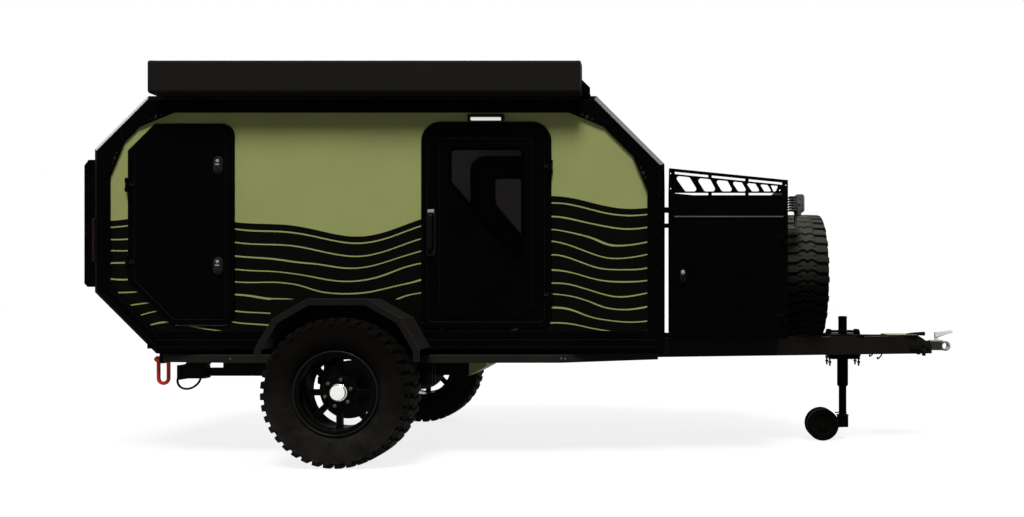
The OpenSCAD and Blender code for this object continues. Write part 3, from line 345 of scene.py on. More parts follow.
def finish(name, colour, rough=0.55, specular=0.02, grain=260.0, bump=0.12, spread=0.25, edge=None,
           edgeHighlightShare=0.5, radius=0.003, dustAndSheen=0.0, dustAndSheenColour=dustTone, dustAndSheenTop=0.9, scuff=0.0,
           metallic=0.0, paintOver=None):
    # coat with broad colour drift, painted highlights along the edges, fine bump, scuffs, and road dust low
    # down (on the tyres also a painted reflection of the pale floor)
    colour, dustAndSheenColour = tone(*colour), tone(*dustAndSheenColour)
    edge = edge and tone(*edge)
    material, tree, shader = startMaterial(name)
    skin = useGroup(tree, grainGroup, Scale=grain)
    soft = useGroup(tree, edgeGroup, Radius=radius)
    base = mixColour(tree, ramp(tree, skin.outputs["Broad"], 0.3, 0.7), shade(colour, 1 - spread),
                     shade(colour, 1 + spread))
    if paintOver:
        base = paintOver(tree, base)
    # edge colour laid along the edges: a painted highlight where light catches them; the scuffs below also
    # take this colour
    if edge:
        base = mixColour(tree, math2(tree, "MULTIPLY", soft.outputs["Mask"], edgeHighlightShare), base, edge)
    if scuff:
        streaks = useGroup(tree, scuffGroup, Amount=scuff)
        base = mixColour(tree, streaks.outputs[0], base, edge or tone(*dustTone))
    if dustAndSheen:
        dustAndSheenLayer = useGroup(tree, dustAndSheenGroup, Amount=dustAndSheen, Ceiling=dustAndSheenTop)
        base = mixColour(tree, dustAndSheenLayer.outputs[0], base, dustAndSheenColour)
    tree.links.new(base, shader.inputs["Base Color"])
    dull = ramp(tree, skin.outputs["Fine"], 0.2, 0.8, rough - 0.07, rough + 0.07)
    tree.links.new(dull, shader.inputs["Roughness"])
    bumpNode = add(tree, "ShaderNodeBump", Strength=bump, Distance=0.0006, Height=skin.outputs["Fine"],
                   Normal=soft.outputs["Normal"])
    tree.links.new(bumpNode.outputs[0], shader.inputs["Normal"])
    shader.inputs["Specular IOR Level"].default_value = specular
    shader.inputs["Metallic"].default_value = metallic
    return material


# side design: olive above a dune line, black below with thin olive lines that follow it
design = {"height": 1.43, "waves": [(0.085, 1.55, 0.6), (0.045, 3.7, 2.1), (0.018, 8.3, 0.4)],
          "spacing": 0.078, "line": 0.007, "wander": 0.07, "black": tone(3, 3, 2),
          "arch": (-1.0375, 0.50, 0.93)}
cabin = {"middle": (-0.9, 0, 1.4), "liner": tone(168, 163, 160), "lampAt": (-0.9, 0, 1.85),
         "lampPower": 4.5, "lampSize": 0.15}


def paleInside(tree, base):
    # faces that look towards the middle of the cabin carry the pale liner
    out = add(tree, "ShaderNodeVectorMath", {"operation": "SUBTRACT"}, _0=placeOf(tree), _1=cabin["middle"])
    side = add(tree, "ShaderNodeVectorMath", {"operation": "DOT_PRODUCT"}, _0=placeOf(tree, "Normal"),
               _1=out.outputs[0])
    return mixColour(tree, math2(tree, "LESS_THAN", side.outputs["Value"], -0.05), base, cabin["liner"])


def oliveTop(tree, base):
    # only the upper face of the nose block is painted
    return mixColour(tree, ramp(tree, axesOf(tree, "Normal")[2], 0.9, 0.98), tone(10, 9, 9), base)


fades = {"casting": (0, 2.585, 2.655), "lever": (2, 0.645, 0.665), "frontSlope": (0, -1.0, -0.9),
         "spareLitTop": (2, 1.00, 1.36)}  # axis, start and end


def fadeAlong(tree, part, first, second):
    # one colour turns into another along an axis of the piece
    axis, start, end = fades[part]
    return mixColour(tree, ramp(tree, axesOf(tree)[axis], start, end), first, second)


def castFade(tree, base):
    # the towing head: dark at the nose, lighter further out, and pale from the lever's height up
    body = fadeAlong(tree, "casting", tone(38, 37, 36), base)
    return fadeAlong(tree, "lever", body, tone(200, 200, 198))


def paintedShadeAhead(tree, base):
    # painted shade: the strips on the front slope are painted darker than those at the back
    return fadeAlong(tree, "frontSlope", base, tone(97, 97, 96))


def paintedLitTop(tree, base):
    # painted light: the upper half of the spare is painted lighter where the light falls, the lower half
    # painted black as shade
    return fadeAlong(tree, "spareLitTop", tone(6, 6, 5), base)


def duneDesign(tree, olive):
    # the line's height is a sum of sines along the wall; lines repeat at equal depths below it
    where = placeOf(tree)
    axes = axesOf(tree)
    line = None
    for size, rate, phase in design["waves"]:
        angle = math2(tree, "ADD", math2(tree, "MULTIPLY", axes[0], rate), phase)
        wave = math2(tree, "MULTIPLY", math2(tree, "SINE", angle), size)
        line = math2(tree, "ADD", wave, line if line else design["height"])
    depth = math2(tree, "SUBTRACT", line, axes[2])
    flat = add(tree, "ShaderNodeMapping", Vector=where, Scale=(1.0, 0.0, 2.2))
    drift = noise(tree, flat.outputs[0], 1.7, Detail=1.0)
    drift = math2(tree, "MULTIPLY", math2(tree, "SUBTRACT", drift, 0.5), design["wander"] * 2)
    fade = ramp(tree, depth, 0.0, 0.25)
    bent = math2(tree, "ADD", depth, math2(tree, "MULTIPLY", drift, fade))
    place = math2(tree, "PINGPONG", bent, design["spacing"] / 2)
    start = design["spacing"] / 2 - design["line"] / 2
    share = ramp(tree, place, start - 0.001, start)
    share = math2(tree, "MAXIMUM", share, ramp(tree, depth, 0.0, -0.0015))
    # behind the wheel, below the fender top, the wall stays black: partly the black paint, partly painted
    # shade
    x, half, top = design["arch"]
    aside = math2(tree, "GREATER_THAN", math2(tree, "ABSOLUTE", math2(tree, "SUBTRACT", axes[0], x)), half)
    outside = math2(tree, "MAXIMUM", aside, math2(tree, "GREATER_THAN", axes[2], top))
    share = math2(tree, "MULTIPLY", share, outside)
    return paleInside(tree, mixColour(tree, share, design["black"], olive))


# each coat's edge colour is the painted highlight along its edges
cabinCoat = dict(colour=(4, 3, 3), specular=0.004, rough=0.5, edge=(48, 47, 45), edgeHighlightShare=0.35)
coats = {
    "cabinBlack": cabinCoat,
    "panelBlack": dict(cabinCoat, paintOver=paleInside),
    "doorBlack": dict(colour=(4, 3, 3), specular=0.004, rough=0.45, edge=(60, 59, 56), edgeHighlightShare=0.4),
    "chassisBlack": dict(colour=(10, 9, 9), specular=0.015, rough=0.55, edge=(60, 58, 54), dustAndSheen=0.08,
                         scuff=0.15),
    "jackBlack": dict(colour=(4, 4, 3), specular=0.005, rough=0.55, edge=(50, 48, 45), edgeHighlightShare=0.3),
    "drawbarBlack": dict(colour=(16, 15, 14), specular=0.02, rough=0.55, edge=(66, 64, 60), dustAndSheen=0.08,
                         scuff=0.2),
    "fenderGrey": dict(colour=(17, 16, 15), specular=0.03, rough=0.6, grain=420.0, bump=0.3,
                       edge=(85, 82, 76), edgeHighlightShare=0.5, dustAndSheen=0.06),
    "railGrey": dict(colour=(21, 21, 19), specular=0.03, rough=0.6, grain=420.0, bump=0.3,
                     edge=(90, 88, 82), dustAndSheen=0.10, scuff=0.2),
    "oliveWall": dict(colour=(131, 137, 85), specular=0.02, rough=0.5, spread=0.05, paintOver=duneDesign),
    "olivePlain": dict(colour=(131, 137, 85), specular=0.03, rough=0.5, spread=0.08, dustAndSheen=0.15),
    "oliveTop": dict(colour=(104, 107, 72), specular=0.03, rough=0.5, spread=0.08, paintOver=oliveTop),
    "awningGrey": dict(colour=(22, 21, 19), specular=0.02, rough=0.6, spread=0.12, edge=(60, 59, 54),
                       edgeHighlightShare=0.4, bump=0.2),
    "rimBlack": dict(colour=(2, 2, 2), specular=0.014, rough=0.35, edge=(80, 78, 74), edgeHighlightShare=0.3,
                     dustAndSheen=0.03),
    # the rim lip beads carry the rim's black painted lighter: a painted highlight on the rounded lips
    "lipHighlightBlack": dict(colour=(18, 18, 17), specular=0.05, rough=0.3, edge=(80, 78, 74), edgeHighlightShare=0.3),
    "drumGrey": dict(colour=(24, 23, 22), specular=0.1, rough=0.5, bump=0.2, dustAndSheen=0.05),
    "tankBlack": dict(colour=(9, 9, 9), specular=0.03, rough=0.6, bump=0.3, dustAndSheen=0.10),
    "redPaint": dict(colour=(235, 62, 50), specular=0.2, rough=0.4, spread=0.12, edge=(210, 110, 95),
                     scuff=0.3),
    "floorBoard": dict(colour=(92, 88, 80), specular=0.1, rough=0.7, grain=90.0, bump=0.3, spread=0.2),
    "lampGrey": dict(colour=(58, 58, 56), specular=0.1, rough=0.5, edge=(120, 119, 115)),
    "handleBlack": dict(colour=(5, 5, 4), specular=0.03, rough=0.38, grain=700.0, bump=0.15,
                        edge=(105, 105, 102), edgeHighlightShare=0.7),
    "latchGrey": dict(colour=(20, 19, 18), specular=0.04, rough=0.42, grain=600.0, edge=(56, 55, 53)),
    "paleGrey": dict(colour=(128, 127, 125), specular=0.1, rough=0.4, spread=0.1),
    "sealBlack": dict(colour=(1, 1, 1), specular=0.003, rough=0.75, grain=900.0, bump=0.2),
    "jockeyRubber": dict(colour=(2, 2, 2), specular=0.008, rough=0.7, grain=240.0, bump=0.25, dustAndSheen=0.03),
    "springRubber": dict(colour=(10, 10, 10), specular=0.03, rough=0.75, bump=0.3, dustAndSheen=0.1),
    # the tyres are painted lighter towards the ground: road dust and a painted reflection of the pale floor
    "tyreRubber": dict(colour=(7, 6, 5), specular=0.015, rough=0.75, grain=180.0, bump=0.3, spread=0.2,
                       dustAndSheen=0.75, dustAndSheenColour=(44, 43, 40), dustAndSheenTop=0.62, radius=0.002),
    # spare: painted light on top, painted shade below
    "spareRubber": dict(colour=(50, 50, 46), specular=0.01, rough=0.7, grain=180.0, bump=0.3, spread=0.2,
                        radius=0.002, paintOver=paintedLitTop),
    "zinc": dict(colour=(196, 196, 193), specular=0.5, rough=0.32, spread=0.1, metallic=1.0, bump=0.05,
                 scuff=0.2),
    "couplerSteel": dict(colour=(158, 157, 155), specular=0.1, rough=0.5, spread=0.15, bump=0.15,
                         edge=(200, 199, 196), scuff=0.3, paintOver=castFade),
    # the strips' pale colour is a painted highlight of light on the chamfered slope edges
    "stripHighlight": dict(colour=(154, 154, 153), specular=0.1, rough=0.45, spread=0.04, paintOver=paintedShadeAhead),
    "polished": dict(colour=(236, 235, 233), specular=0.5, rough=0.18, spread=0.03, metallic=0.9, bump=0.03),
    "darkSteel": dict(colour=(60, 59, 57), specular=0.4, rough=0.4, metallic=0.8, spread=0.2),
}
looks = {name: finish(name, **coat) for name, coat in coats.items()}


def tintedGlass(name, colour, rough):
    material, tree, shader = startMaterial(name)
    skin = useGroup(tree, grainGroup, Scale=14.0)
    haze = ramp(tree, skin.outputs["Fine"], 0.3, 0.7, rough, rough + 0.008)
    tree.links.new(haze, shader.inputs["Roughness"])
    drift = mixColour(tree, skin.outputs["Broad"], shade(colour, 0.94), colour)
    tree.links.new(drift, shader.inputs["Base Color"])
    shader.inputs["Transmission Weight"].default_value = 1.0
    shader.inputs["IOR"].default_value = 1.06  # thin coated pane that hardly mirrors
    return material


def lampLens(name, colour, glow, bars):
    # moulded lens: ribs across it, and a steady glow where the lamp is lit
    material, tree, shader = startMaterial(name)
    where = placeOf(tree)
    wave = add(tree, "ShaderNodeTexWave", {"bands_direction": "DIAGONAL"}, Vector=where, Scale=bars)
    rib = wave.outputs[1]
    ribbed = mixColour(tree, rib, shade(colour, 0.8), colour)
    tree.links.new(ribbed, shader.inputs["Base Color"])
    bumpNode = add(tree, "ShaderNodeBump", Strength=0.25, Distance=0.001, Height=rib)
    tree.links.new(bumpNode.outputs[0], shader.inputs["Normal"])
    shader.inputs["Roughness"].default_value = 0.15
    if glow:
        tree.links.new(ribbed, shader.inputs["Emission Color"])
        shader.inputs["Emission Strength"].default_value = glow
    return material


looks["tintedGlass"] = tintedGlass("tintedGlass", tone(90, 88, 87), 0.0)
looks["whiteLens"] = lampLens("whiteLens", tone(236, 236, 231), 0.75, 40.0)
looks["redLens"] = lampLens("redLens", tone(150, 14, 14), 0.0, 60.0)
looks["clearLens"] = lampLens("clearLens", tone(170, 172, 172), 0.0, 50.0)
print("materials made:", len(looks))

wearing = {
    "panelBlack": ["roof_panel", "front_wall", "front_slope_panel", "rear_slope_panel", "tail_slope_panel",
                   "rear_wall"],
    "cabinBlack": ["edge_frames", "front_box", "basket", "hinge_leaves", "awning_brackets", "rear_hatch",
                   "box_door_right", "box_door_left"],
    "doorBlack": ["entry_door_right", "entry_door_left", "side_hatch_right", "side_hatch_left"],
    "chassisBlack": ["chassis_rails", "cross_members", "tow_lugs", "trailing_arms", "receiver",
                     "spare_carrier", "hangers"],
    "jackBlack": ["jack_post", "jack_leg", "jack_caster"],
    "drawbarBlack": ["drawbar"],
    "railGrey": ["rock_rails"],
    "fenderGrey": ["fenders"],
    "oliveWall": ["side_walls"],
    "olivePlain": ["stone_guard"],
    "oliveTop": ["coupler_mount"],
    "awningGrey": ["awning_case"],
    "rimBlack": ["rim_right", "rim_left", "spare_rim"],
    "drumGrey": ["hub_right", "hub_left"],
    "tankBlack": ["water_tank"],
    "redPaint": ["recovery_shackles"],
    "floorBoard": ["floor_panel"],
    "lampGrey": ["work_lamps"],
    "handleBlack": ["door_handle_right", "door_handle_left"],
    "latchGrey": ["hatch_latches_right", "hatch_latches_left"],
    "jockeyRubber": ["jack_wheel"],
    "springRubber": ["spring_pads"],
    "tyreRubber": ["tyre_right", "tyre_left"],
    "spareRubber": ["spare_tyre"],
    "couplerSteel": ["coupler_head"],
    "stripHighlight": ["cap_strips"],
    "tintedGlass": ["door_glass_right", "door_glass_left"],
    "whiteLens": ["porch_lamps"],
    "redLens": ["tail_lamps"],
}
for look, names in wearing.items():
    for name in names:
        cad[name].data.materials.clear()
        cad[name].data.materials.append(looks[look])
print("nodes dressed:", sum(len(names) for names in wearing.values()))


# wheels

tyre = {"pitches": 40, "perPitch": 24, "sectionSteps": 48, "depth": 0.016, "zigzag": 0.016, "period": 0.104,
        "groove": 0.17, "shoulderGroove": 0.42, "shoulderFrom": 0.056, "shoulderAt": 0.070,
        "grooveMiddle": 0.775, "grooveSlope": 0.03, "ringAt": 0.048, "ringHalf": 0.003, "ringSway": 0.007,
        "ringSlope": 0.002, "ringDepth": 0.55, "treadFrom": 0.386, "treadRise": 0.006, "lugRise": 0.005,
        "lugOut": 0.005, "notch": 0.006, "notchFrom": 0.1,
        "section": [(0.106, 0.2195), (0.1065, 0.2375), (0.1165, 0.249), (0.129, 0.265), (0.1375, 0.290),
                    (0.1405, 0.318), (0.1385, 0.347), (0.1365, 0.372), (0.1355, 0.386), (0.1335, 0.4005),
                    (0.1285, 0.4085), (0.1165, 0.413), (0.080, 0.4146), (0.040, 0.415), (0.0, 0.415)],
        "lugEnds": (0.376, 0.386)}


def smoothLine(points, count):
    # Catmull-Rom curve through the points, sampled evenly over its spans
    p = np.array(points, float)
    p = np.concatenate([[2 * p[0] - p[1]], p, [2 * p[-1] - p[-2]]])
    t = np.linspace(0, len(points) - 1, count)
    i = np.minimum(t.astype(int), len(points) - 2)
    f = (t - i)[:, None]
    a, b, c, d = p[i], p[i + 1], p[i + 2], p[i + 3]
    square, cube = 2 * a - 5 * b + 4 * c - d, 3 * b - a - 3 * c + d
    return 0.5 * (2 * b + (c - a) * f + square * f ** 2 + cube * f ** 3)


def zigzag(x):
    # triangle wave of period 1 between -1 and 1
    return 4 * np.abs(x - np.floor(x + 0.5)) - 1


def tyreShape(origin, axes):
    # radius and width follow the section; zig-zag cross grooves cut the tread, and the lugs
    # between them run on down the shoulder, every second one further
    half = smoothLine(tyre["section"], tyre["sectionSteps"])
    section = np.concatenate([half, (half * [-1, 1])[-2::-1]])
    width, radius = section[:, 0], section[:, 1]
    steps = tyre["pitches"] * tyre["perPitch"]
    turn = np.arange(steps) / tyre["perPitch"]
    pitchLength = 2 * np.pi * radius.max() / tyre["pitches"]
    w, r, q = np.broadcast_arrays(width[None], radius[None], turn[:, None])
    inner = np.minimum(np.abs(w), tyre["shoulderAt"])
    bend = zigzag(inner / tyre["period"] + 0.25) - zigzag(tyre["shoulderAt"] / tyre["period"] + 0.25)
    phase = q + tyre["zigzag"] / pitchLength * bend
    part = phase - np.floor(phase)
    away, sign = np.abs(w), np.sign(w)
    wide = np.interp(away, [tyre["shoulderFrom"], tyre["shoulderAt"]],
                     [tyre["groove"], tyre["shoulderGroove"]])
    cross = np.clip((wide / 2 - np.abs(part - tyre["grooveMiddle"])) / tyre["grooveSlope"] + 0.5, 0, 1)
    sway = np.abs(away - tyre["ringAt"] - tyre["ringSway"] * zigzag(phase))
    ring = np.clip((tyre["ringHalf"] - sway) / tyre["ringSlope"] + 0.5, 0, 1)
    onTread = np.clip((r - tyre["treadFrom"]) / tyre["treadRise"], 0, 1)
    lugEnd = np.where(np.floor(phase) % 2 == 0, *tyre["lugEnds"])
    onSide = np.clip((r - lugEnd) / tyre["lugRise"], 0, 1) * (1 - onTread)
    deep = r - tyre["depth"] * np.maximum(cross, tyre["ringDepth"] * ring) * onTread
    notch = sign * tyre["notch"] * cross * onTread * (away > tyre["notchFrom"])
    out = w + sign * tyre["lugOut"] * (1 - cross) * onSide - notch
    n, u, v = axes
    t = turn * 2 * np.pi / tyre["pitches"]
    spoke = np.cos(t)[:, None] * u + np.sin(t)[:, None] * v
    points = np.array(origin) + out[..., None] * n + deep[..., None] * spoke[:, None]
    return outward(points.reshape(-1, 3), quadGrid(steps, len(width), True, True))


def middle(node):
    low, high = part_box(node)
    return (np.array(low) + np.array(high)) / 2


wheels = {  # centre, outward axis with the two directions that turn about it, body, tyre node
    "right": (middle("tyre_right"), [(0, -1, 0), (1, 0, 0), (0, 0, 1)], "wheel_right", "tyre_right"),
    "left": (middle("tyre_left"), [(0, 1, 0), (1, 0, 0), (0, 0, 1)], "wheel_left", "tyre_left"),
    "spare": (middle("spare_tyre"), [(1, 0, 0), (0, 0, -1), (0, 1, 0)], "trailer", "spare_tyre"),
}
rimTrim = {"lipRadius": 0.2315, "lipOut": 0.1165, "bead": 0.0055,
           "boss": [(0.0585, 0.052), (0.0585, 0.062), (0.0645, 0.064), (0.0845, 0.064), (0.0935, 0.0595),
                    (0.0965, 0.052)],
           "nuts": 6, "nutTurn": 0.3, "nutCircle": 0.0745, "nutSeat": 0.064, "nut": (0.021, 0.016),
           "studRadius": 0.0075, "capSeat": [(0, 0.064), (0.0475, 0.064), (0.0475, 0.068), (0.0435, 0.070)],
           "capBend": (0.0355, 0.081, 0.008), "capTop": [(0.02175, 0.092), (0, 0.093)]}


def wheelTrim(side, centre, axes, body):
    # rings turned round the axle: lip beads, boss and cap; the nuts stand on the boss
    n, u, v = axes
    lip = circle(rimTrim["bead"], 12)
    lips = [revolve(lip + [rimTrim["lipRadius"], s * rimTrim["lipOut"]], centre, n, 96, True)
            for s in (1, -1)]
    addPiece("rimLips_" + side, join(lips), "lipHighlightBlack", body)
    boss = revolve(rimTrim["boss"], centre, n, 72, True)
    addPiece("rimBoss_" + side, boss, "rimBlack", body)
    t = np.arange(rimTrim["nuts"]) * 2 * np.pi / rimTrim["nuts"] + rimTrim["nutTurn"]
    spokes = np.cos(t)[:, None] * u + np.sin(t)[:, None] * v
    spots = centre + n * rimTrim["nutSeat"] + rimTrim["nutCircle"] * spokes
    nuts = [hexHead(p, n, *rimTrim["nut"]) for p in spots]
    nuts += [screwHead(p + n * rimTrim["nut"][1], n, rimTrim["studRadius"]) for p in spots]
    addPiece("wheelNuts_" + side, join(nuts), "darkSteel", body)
    if side != "spare":
        r, rise, bend = rimTrim["capBend"]
        a = np.linspace(0, np.pi / 2, 9)
        crown = np.column_stack([r + bend * np.cos(a), rise + bend * np.sin(a)])
        cap = np.concatenate([rimTrim["capSeat"], crown, rimTrim["capTop"]])
        addPiece("hubCap_" + side, revolve(cap, centre, n, 48), "polished", body, crease=50)


for side, (centre, axes, body, node) in wheels.items():
    axes = np.array(axes)
    rubber = "spareRubber" if side == "spare" else "tyreRubber"
    addPiece("tyre_" + side + "_tread", tyreShape(centre, axes), rubber, body, (node,),
             crease=40)
    wheelTrim(side, centre, axes, body)
print("wheels made")


# doors, hatches and their fittings; y is given for the right side and mirrored for the left

def flatOnSide(y):
    # (x, z, height) of a plate to its place on the right wall, height counted outwards from y
    return lambda p: np.column_stack([p[:, 0], y - p[:, 2], p[:, 1]])


def sidePair(name, shape, look, bodies, replaced=None):
    for side, body, form in (("right", bodies[0], shape), ("left", bodies[1], mirrored(shape))):
        addPiece(name + "_" + side, form, look, body,
                 [r + "_" + side for r in replaced] if replaced else ())


def onPlane(line, y):
    # (x, z) points set at one y
    return np.column_stack([line[:, 0], np.full(len(line), y), line[:, 1]])


trailer, doors = ("trailer", "trailer"), ("door_right", "door_left")
hatches, boxDoors = ("hatch_right", "hatch_left"), ("box_right", "box_left")
acrossY, outRight = (0, 1, 0), (0, -1, 0)

pane = {"corners": [(-0.4895, 1.616), (-0.0562, 1.112), (-0.0562, 1.8164), (-0.4895, 1.8164)],
        "radius": 0.034, "bead": (-0.011, 0.004, -0.006, 0.026), "beadRound": 0.0025, "face": -0.734}
ringPath = onPlane(fillet(pane["corners"], pane["radius"], 8), pane["face"])
bead = roundRect(*pane["bead"], pane["beadRound"], 3)
sidePair("windowGasket", sweep(ringPath, bead, acrossY, True), "sealBlack", doors)

gapSeal = {"door": (roundRect(-0.6525, 0.1045, 0.761, 1.967, [0.058, 0.058, 0.113, 0.113], 8), -0.702),
           "box": (roundRect(0.8215, 1.4675, 0.724, 1.395, 0.003, 3), -0.676),
           "section": (-0.0022, 0.0022, -0.012, 0.012), "round": 0.0015}
seal = roundRect(*gapSeal["section"], gapSeal["round"], 2)
for name in ("door", "box"):
    ring = sweep(onPlane(*gapSeal[name]), seal, acrossY, True)
    sidePair(name + "Seal", ring, "sealBlack", trailer)

grip = {"x": -0.5935, "low": 1.179, "high": 1.459, "wall": -0.729, "plateHalf": 0.0255, "plateRound": 0.0245,
        "plate": [(0.0, 0.0), (0.006, 0.0), (0.009, 0.003)], "stand": 0.030, "sunk": 0.006,
        "bowFoot": 0.030, "bowTop": 0.052, "bowRound": 0.022,
        "section": (-0.009, 0.009, -0.015, 0.015), "sectionRound": 0.0055,
        "lock": [(0, 0), (0.013, 0), (0.013, 0.004), (0.010, 0.006), (0, 0.006)],
        "lockAt": (0, -0.008, 0.018), "cap": ((-0.019, -0.018, -0.028), (0.019, -0.006, -0.005), 0.0055)}
x, low, high, wall, half = (grip[k] for k in ("x", "low", "high", "wall", "plateHalf"))
base = plate(roundRect(x - half, x + half, low, high, grip["plateRound"], 8), grip["plate"],
             flatOnSide(wall))
t = np.linspace(0, np.pi / 2, 7)
bow = np.concatenate([
    np.column_stack([grip["stand"] * np.sin(t), low + grip["bowFoot"] + grip["bowRound"] * (1 - np.cos(t))]),
    np.column_stack([grip["stand"] * np.cos(t), high - grip["bowTop"] + grip["bowRound"] * np.sin(t)])])
gripPath = np.column_stack([np.full(len(bow), x), wall - grip["sunk"] - bow[:, 0], bow[:, 1]])
gripBar = sweep(gripPath, roundRect(*grip["section"], grip["sectionRound"], 4), (1, 0, 0))
lockCap = revolve(grip["lock"], np.add((x, wall, low), grip["lockAt"]), outRight, 24)
sidePair("grabHandle", join([base, gripBar, lockCap]), "handleBlack", doors,
         ["door_handle"])
sidePair("grabHandleCap", boxAt((x, wall, high), *grip["cap"]), "paleGrey", doors)

latch = {"x": -1.8345, "heights": (1.125, 1.712), "wall": -0.734,
         "plates": [(roundRect(-0.029, 0.029, -0.052, 0.052, 0.027, 8),
                     [(0, 0), (0.006, 0), (0.011, 0.004), (0.0125, 0.010)]),
                    (roundRect(-0.017, 0.017, -0.040, 0.006, 0.015, 6),
                     [(0.010, 0), (0.0155, 0.001), (0.017, 0.004)])],
         "key": [(0, 0), (0.010, 0), (0.010, 0.003), (0.007, 0.0045), (0, 0.0045)],
         "keyAt": (0, -0.012, 0.024), "bar": ((-0.013, -0.0185, -0.001), (0.013, -0.0155, 0.007), 0.0014)}
latchBodies, latchKeys = [], []
for z in latch["heights"]:
    at = (latch["x"], latch["wall"], z)
    latchBodies += [plate(outline + (latch["x"], z), levels, flatOnSide(latch["wall"]))
                    for outline, levels in latch["plates"]]
    latchKeys.append(revolve(latch["key"], np.add(at, latch["keyAt"]), outRight, 24))
    latchKeys.append(boxAt(at, *latch["bar"]))
sidePair("hatchLatch", join(latchBodies), "latchGrey", hatches, ["hatch_latches"])
sidePair("hatchLatchKey", join(latchKeys), "paleGrey", hatches)

boxLatch = {"at": (0.8765, 1.068), "wall": -0.7105,
            "pill": (roundRect(-0.0155, 0.0155, -0.037, 0.037, 0.0145, 8),
                     [(-0.002, 0), (0.005, 0), (0.008, 0.003)]),
            "cap": (roundRect(-0.012, 0.012, 0.006, 0.034, 0.0115, 8),
                    [(0.004, 0), (0.010, 0.001), (0.012, 0.004)])}
for name, part, look in (("boxHandle", "pill", "handleBlack"), ("boxHandleCap", "cap", "paleGrey")):
    outline, levels = boxLatch[part]
    shape = plate(outline + boxLatch["at"], levels, flatOnSide(boxLatch["wall"]))
    sidePair(name, shape, look, boxDoors)

# a grey rail along the top edge of the box door: a painted highlight standing in for the light caught by
# that edge
boxEdgeHighlight = {"ends": [(0.827, -0.6965, 1.415), (1.466, -0.6965, 1.415)], "radius": 0.0045}
rail = sweep(boxEdgeHighlight["ends"], circle(boxEdgeHighlight["radius"], 14), (0, 0, 1))
sidePair("boxEdgeHighlightRail", rail, "lampGrey", trailer)

screws = {"door": (0.1045, -1, (0.954, 1.704)), "hatch": (-2.3665, 1, (1.144, 1.598)),
          "along": (0.021, 0.034), "leaf": -0.738, "radius": 0.0045}
for name, bodies in (("door", doors), ("hatch", hatches)):
    x, way, heights = screws[name]
    heads = [screwHead((x + way * k, screws["leaf"], z), outRight, screws["radius"])
             for z in heights for k in screws["along"]]
    sidePair(name + "Screws", join(heads), "handleBlack", bodies)
print("doors and hatches fitted")


# lamps

porch = {"lens": ((-0.363, -0.744, 1.974), (-0.185, -0.728, 1.993), 0.006),
         "housing": [((-0.381, -0.742, 1.972), (-0.363, -0.720, 2.010), 0.004),
                     ((-0.185, -0.742, 1.972), (-0.167, -0.720, 2.010), 0.004),
                     ((-0.371, -0.743, 1.994), (-0.177, -0.720, 2.010), 0.004),
                     ((-0.377, -0.729, 1.972), (-0.171, -0.720, 2.010), 0.002)]}  # ends, visor, back
addPiece("porchLens", bothSides([roundBox(*porch["lens"])]), "whiteLens", "trailer",
         ("porch_lamps",))
addPiece("porchHousing", bothSides([roundBox(*b) for b in porch["housing"]]), "handleBlack",
         "trailer")

tail = {"y": (-0.712, -0.682), "z": (1.153, 1.403), "face": -2.5805, "seat": -2.5745, "wall": -2.5715,
        "cells": 3, "rim": 0.004, "gap": 0.002, "cellRound": 0.003, "round": 0.006,
        "frame": [(0, 0), (0.0035, 0), (0.0035, 0.0098), (0.001, 0.0098), (0, 0.0085)]}
(y0, y1), (z0, z1), rim, gap = (tail[k] for k in ("y", "z", "rim", "gap"))
step = (z1 - z0 - 2 * rim) / tail["cells"]
cells = [roundBox((tail["face"], y0 + rim, z0 + rim + k * step + gap),
                  (tail["seat"], y1 - rim, z0 + rim + (k + 1) * step - gap), tail["cellRound"])
         for k in range(tail["cells"])]
around = [(tail["wall"], y, z) for y, z in roundRect(y0, y1, z0, z1, tail["round"])]
back = sweep(around, tail["frame"], (-1, 0, 0), True)
addPiece("tailLens", bothSides(cells), "redLens", "trailer", ("tail_lamps",))
addPiece("tailHousing", bothSides([back]), "handleBlack", "trailer")

workLamp = {"at": (1.4945, -0.45, 1.422), "fins": 6, "finRise": (0.048, 0.128),
            "fin": ((0.033, -0.054, 0), (0.074, 0.054, 0.006), 0.0022, 2),
            "pod": ((0.072, -0.060, 0.036), (0.122, 0.060, 0.146), 0.010),
            "rear": ((0.058, -0.048, 0.046), (0.076, 0.048, 0.136), 0.006),
            "strap": [(0.002, 0, -0.060), (0.070, 0, -0.060), (0.076, 0, -0.054), (0.076, 0, 0.040)],
            "strapSection": (-0.006, 0.006, -0.02, 0.02, 0.002, 2),
            "foot": ((0, -0.024, -0.074), (0.008, 0.024, -0.046), 0.002),
            "earRight": ((0.080, -0.064, 0.020), (0.104, -0.058, 0.100), 0.0025),
            "earLeft": ((0.080, 0.058, 0.020), (0.104, 0.064, 0.100), 0.0025),
            "yoke": ((0.080, -0.064, 0.016), (0.104, 0.064, 0.024), 0.003),
            "bolt": (0.092, 0.064, 0.088), "boltHead": (0.013, 0.006),
            "glass": ((0.118, -0.051, 0.045), (0.127, 0.051, 0.137), 0.004)}
at = np.array(workLamp["at"])
pods = [boxAt(at, *workLamp[k]) for k in ("pod", "rear", "foot", "earRight", "earLeft", "yoke")]
pods += [boxAt(at + [0, 0, rise], *workLamp["fin"])
         for rise in np.linspace(*workLamp["finRise"], workLamp["fins"])]
pods.append(sweep(at + workLamp["strap"], roundRect(*workLamp["strapSection"]), acrossY))
pods += [hexHead(at + np.multiply(workLamp["bolt"], (1, s, 1)), (0, s, 0), *workLamp["boltHead"])
         for s in (-1, 1)]
addPiece("workLamps", bothSides(pods), "lampGrey", "trailer", ("work_lamps",))
glassFace = boxAt(at, *workLamp["glass"])
addPiece("workLampLens", bothSides([glassFace]), "clearLens", "trailer")
print("lamps made")


# awning, jack, drawbar and small hardware

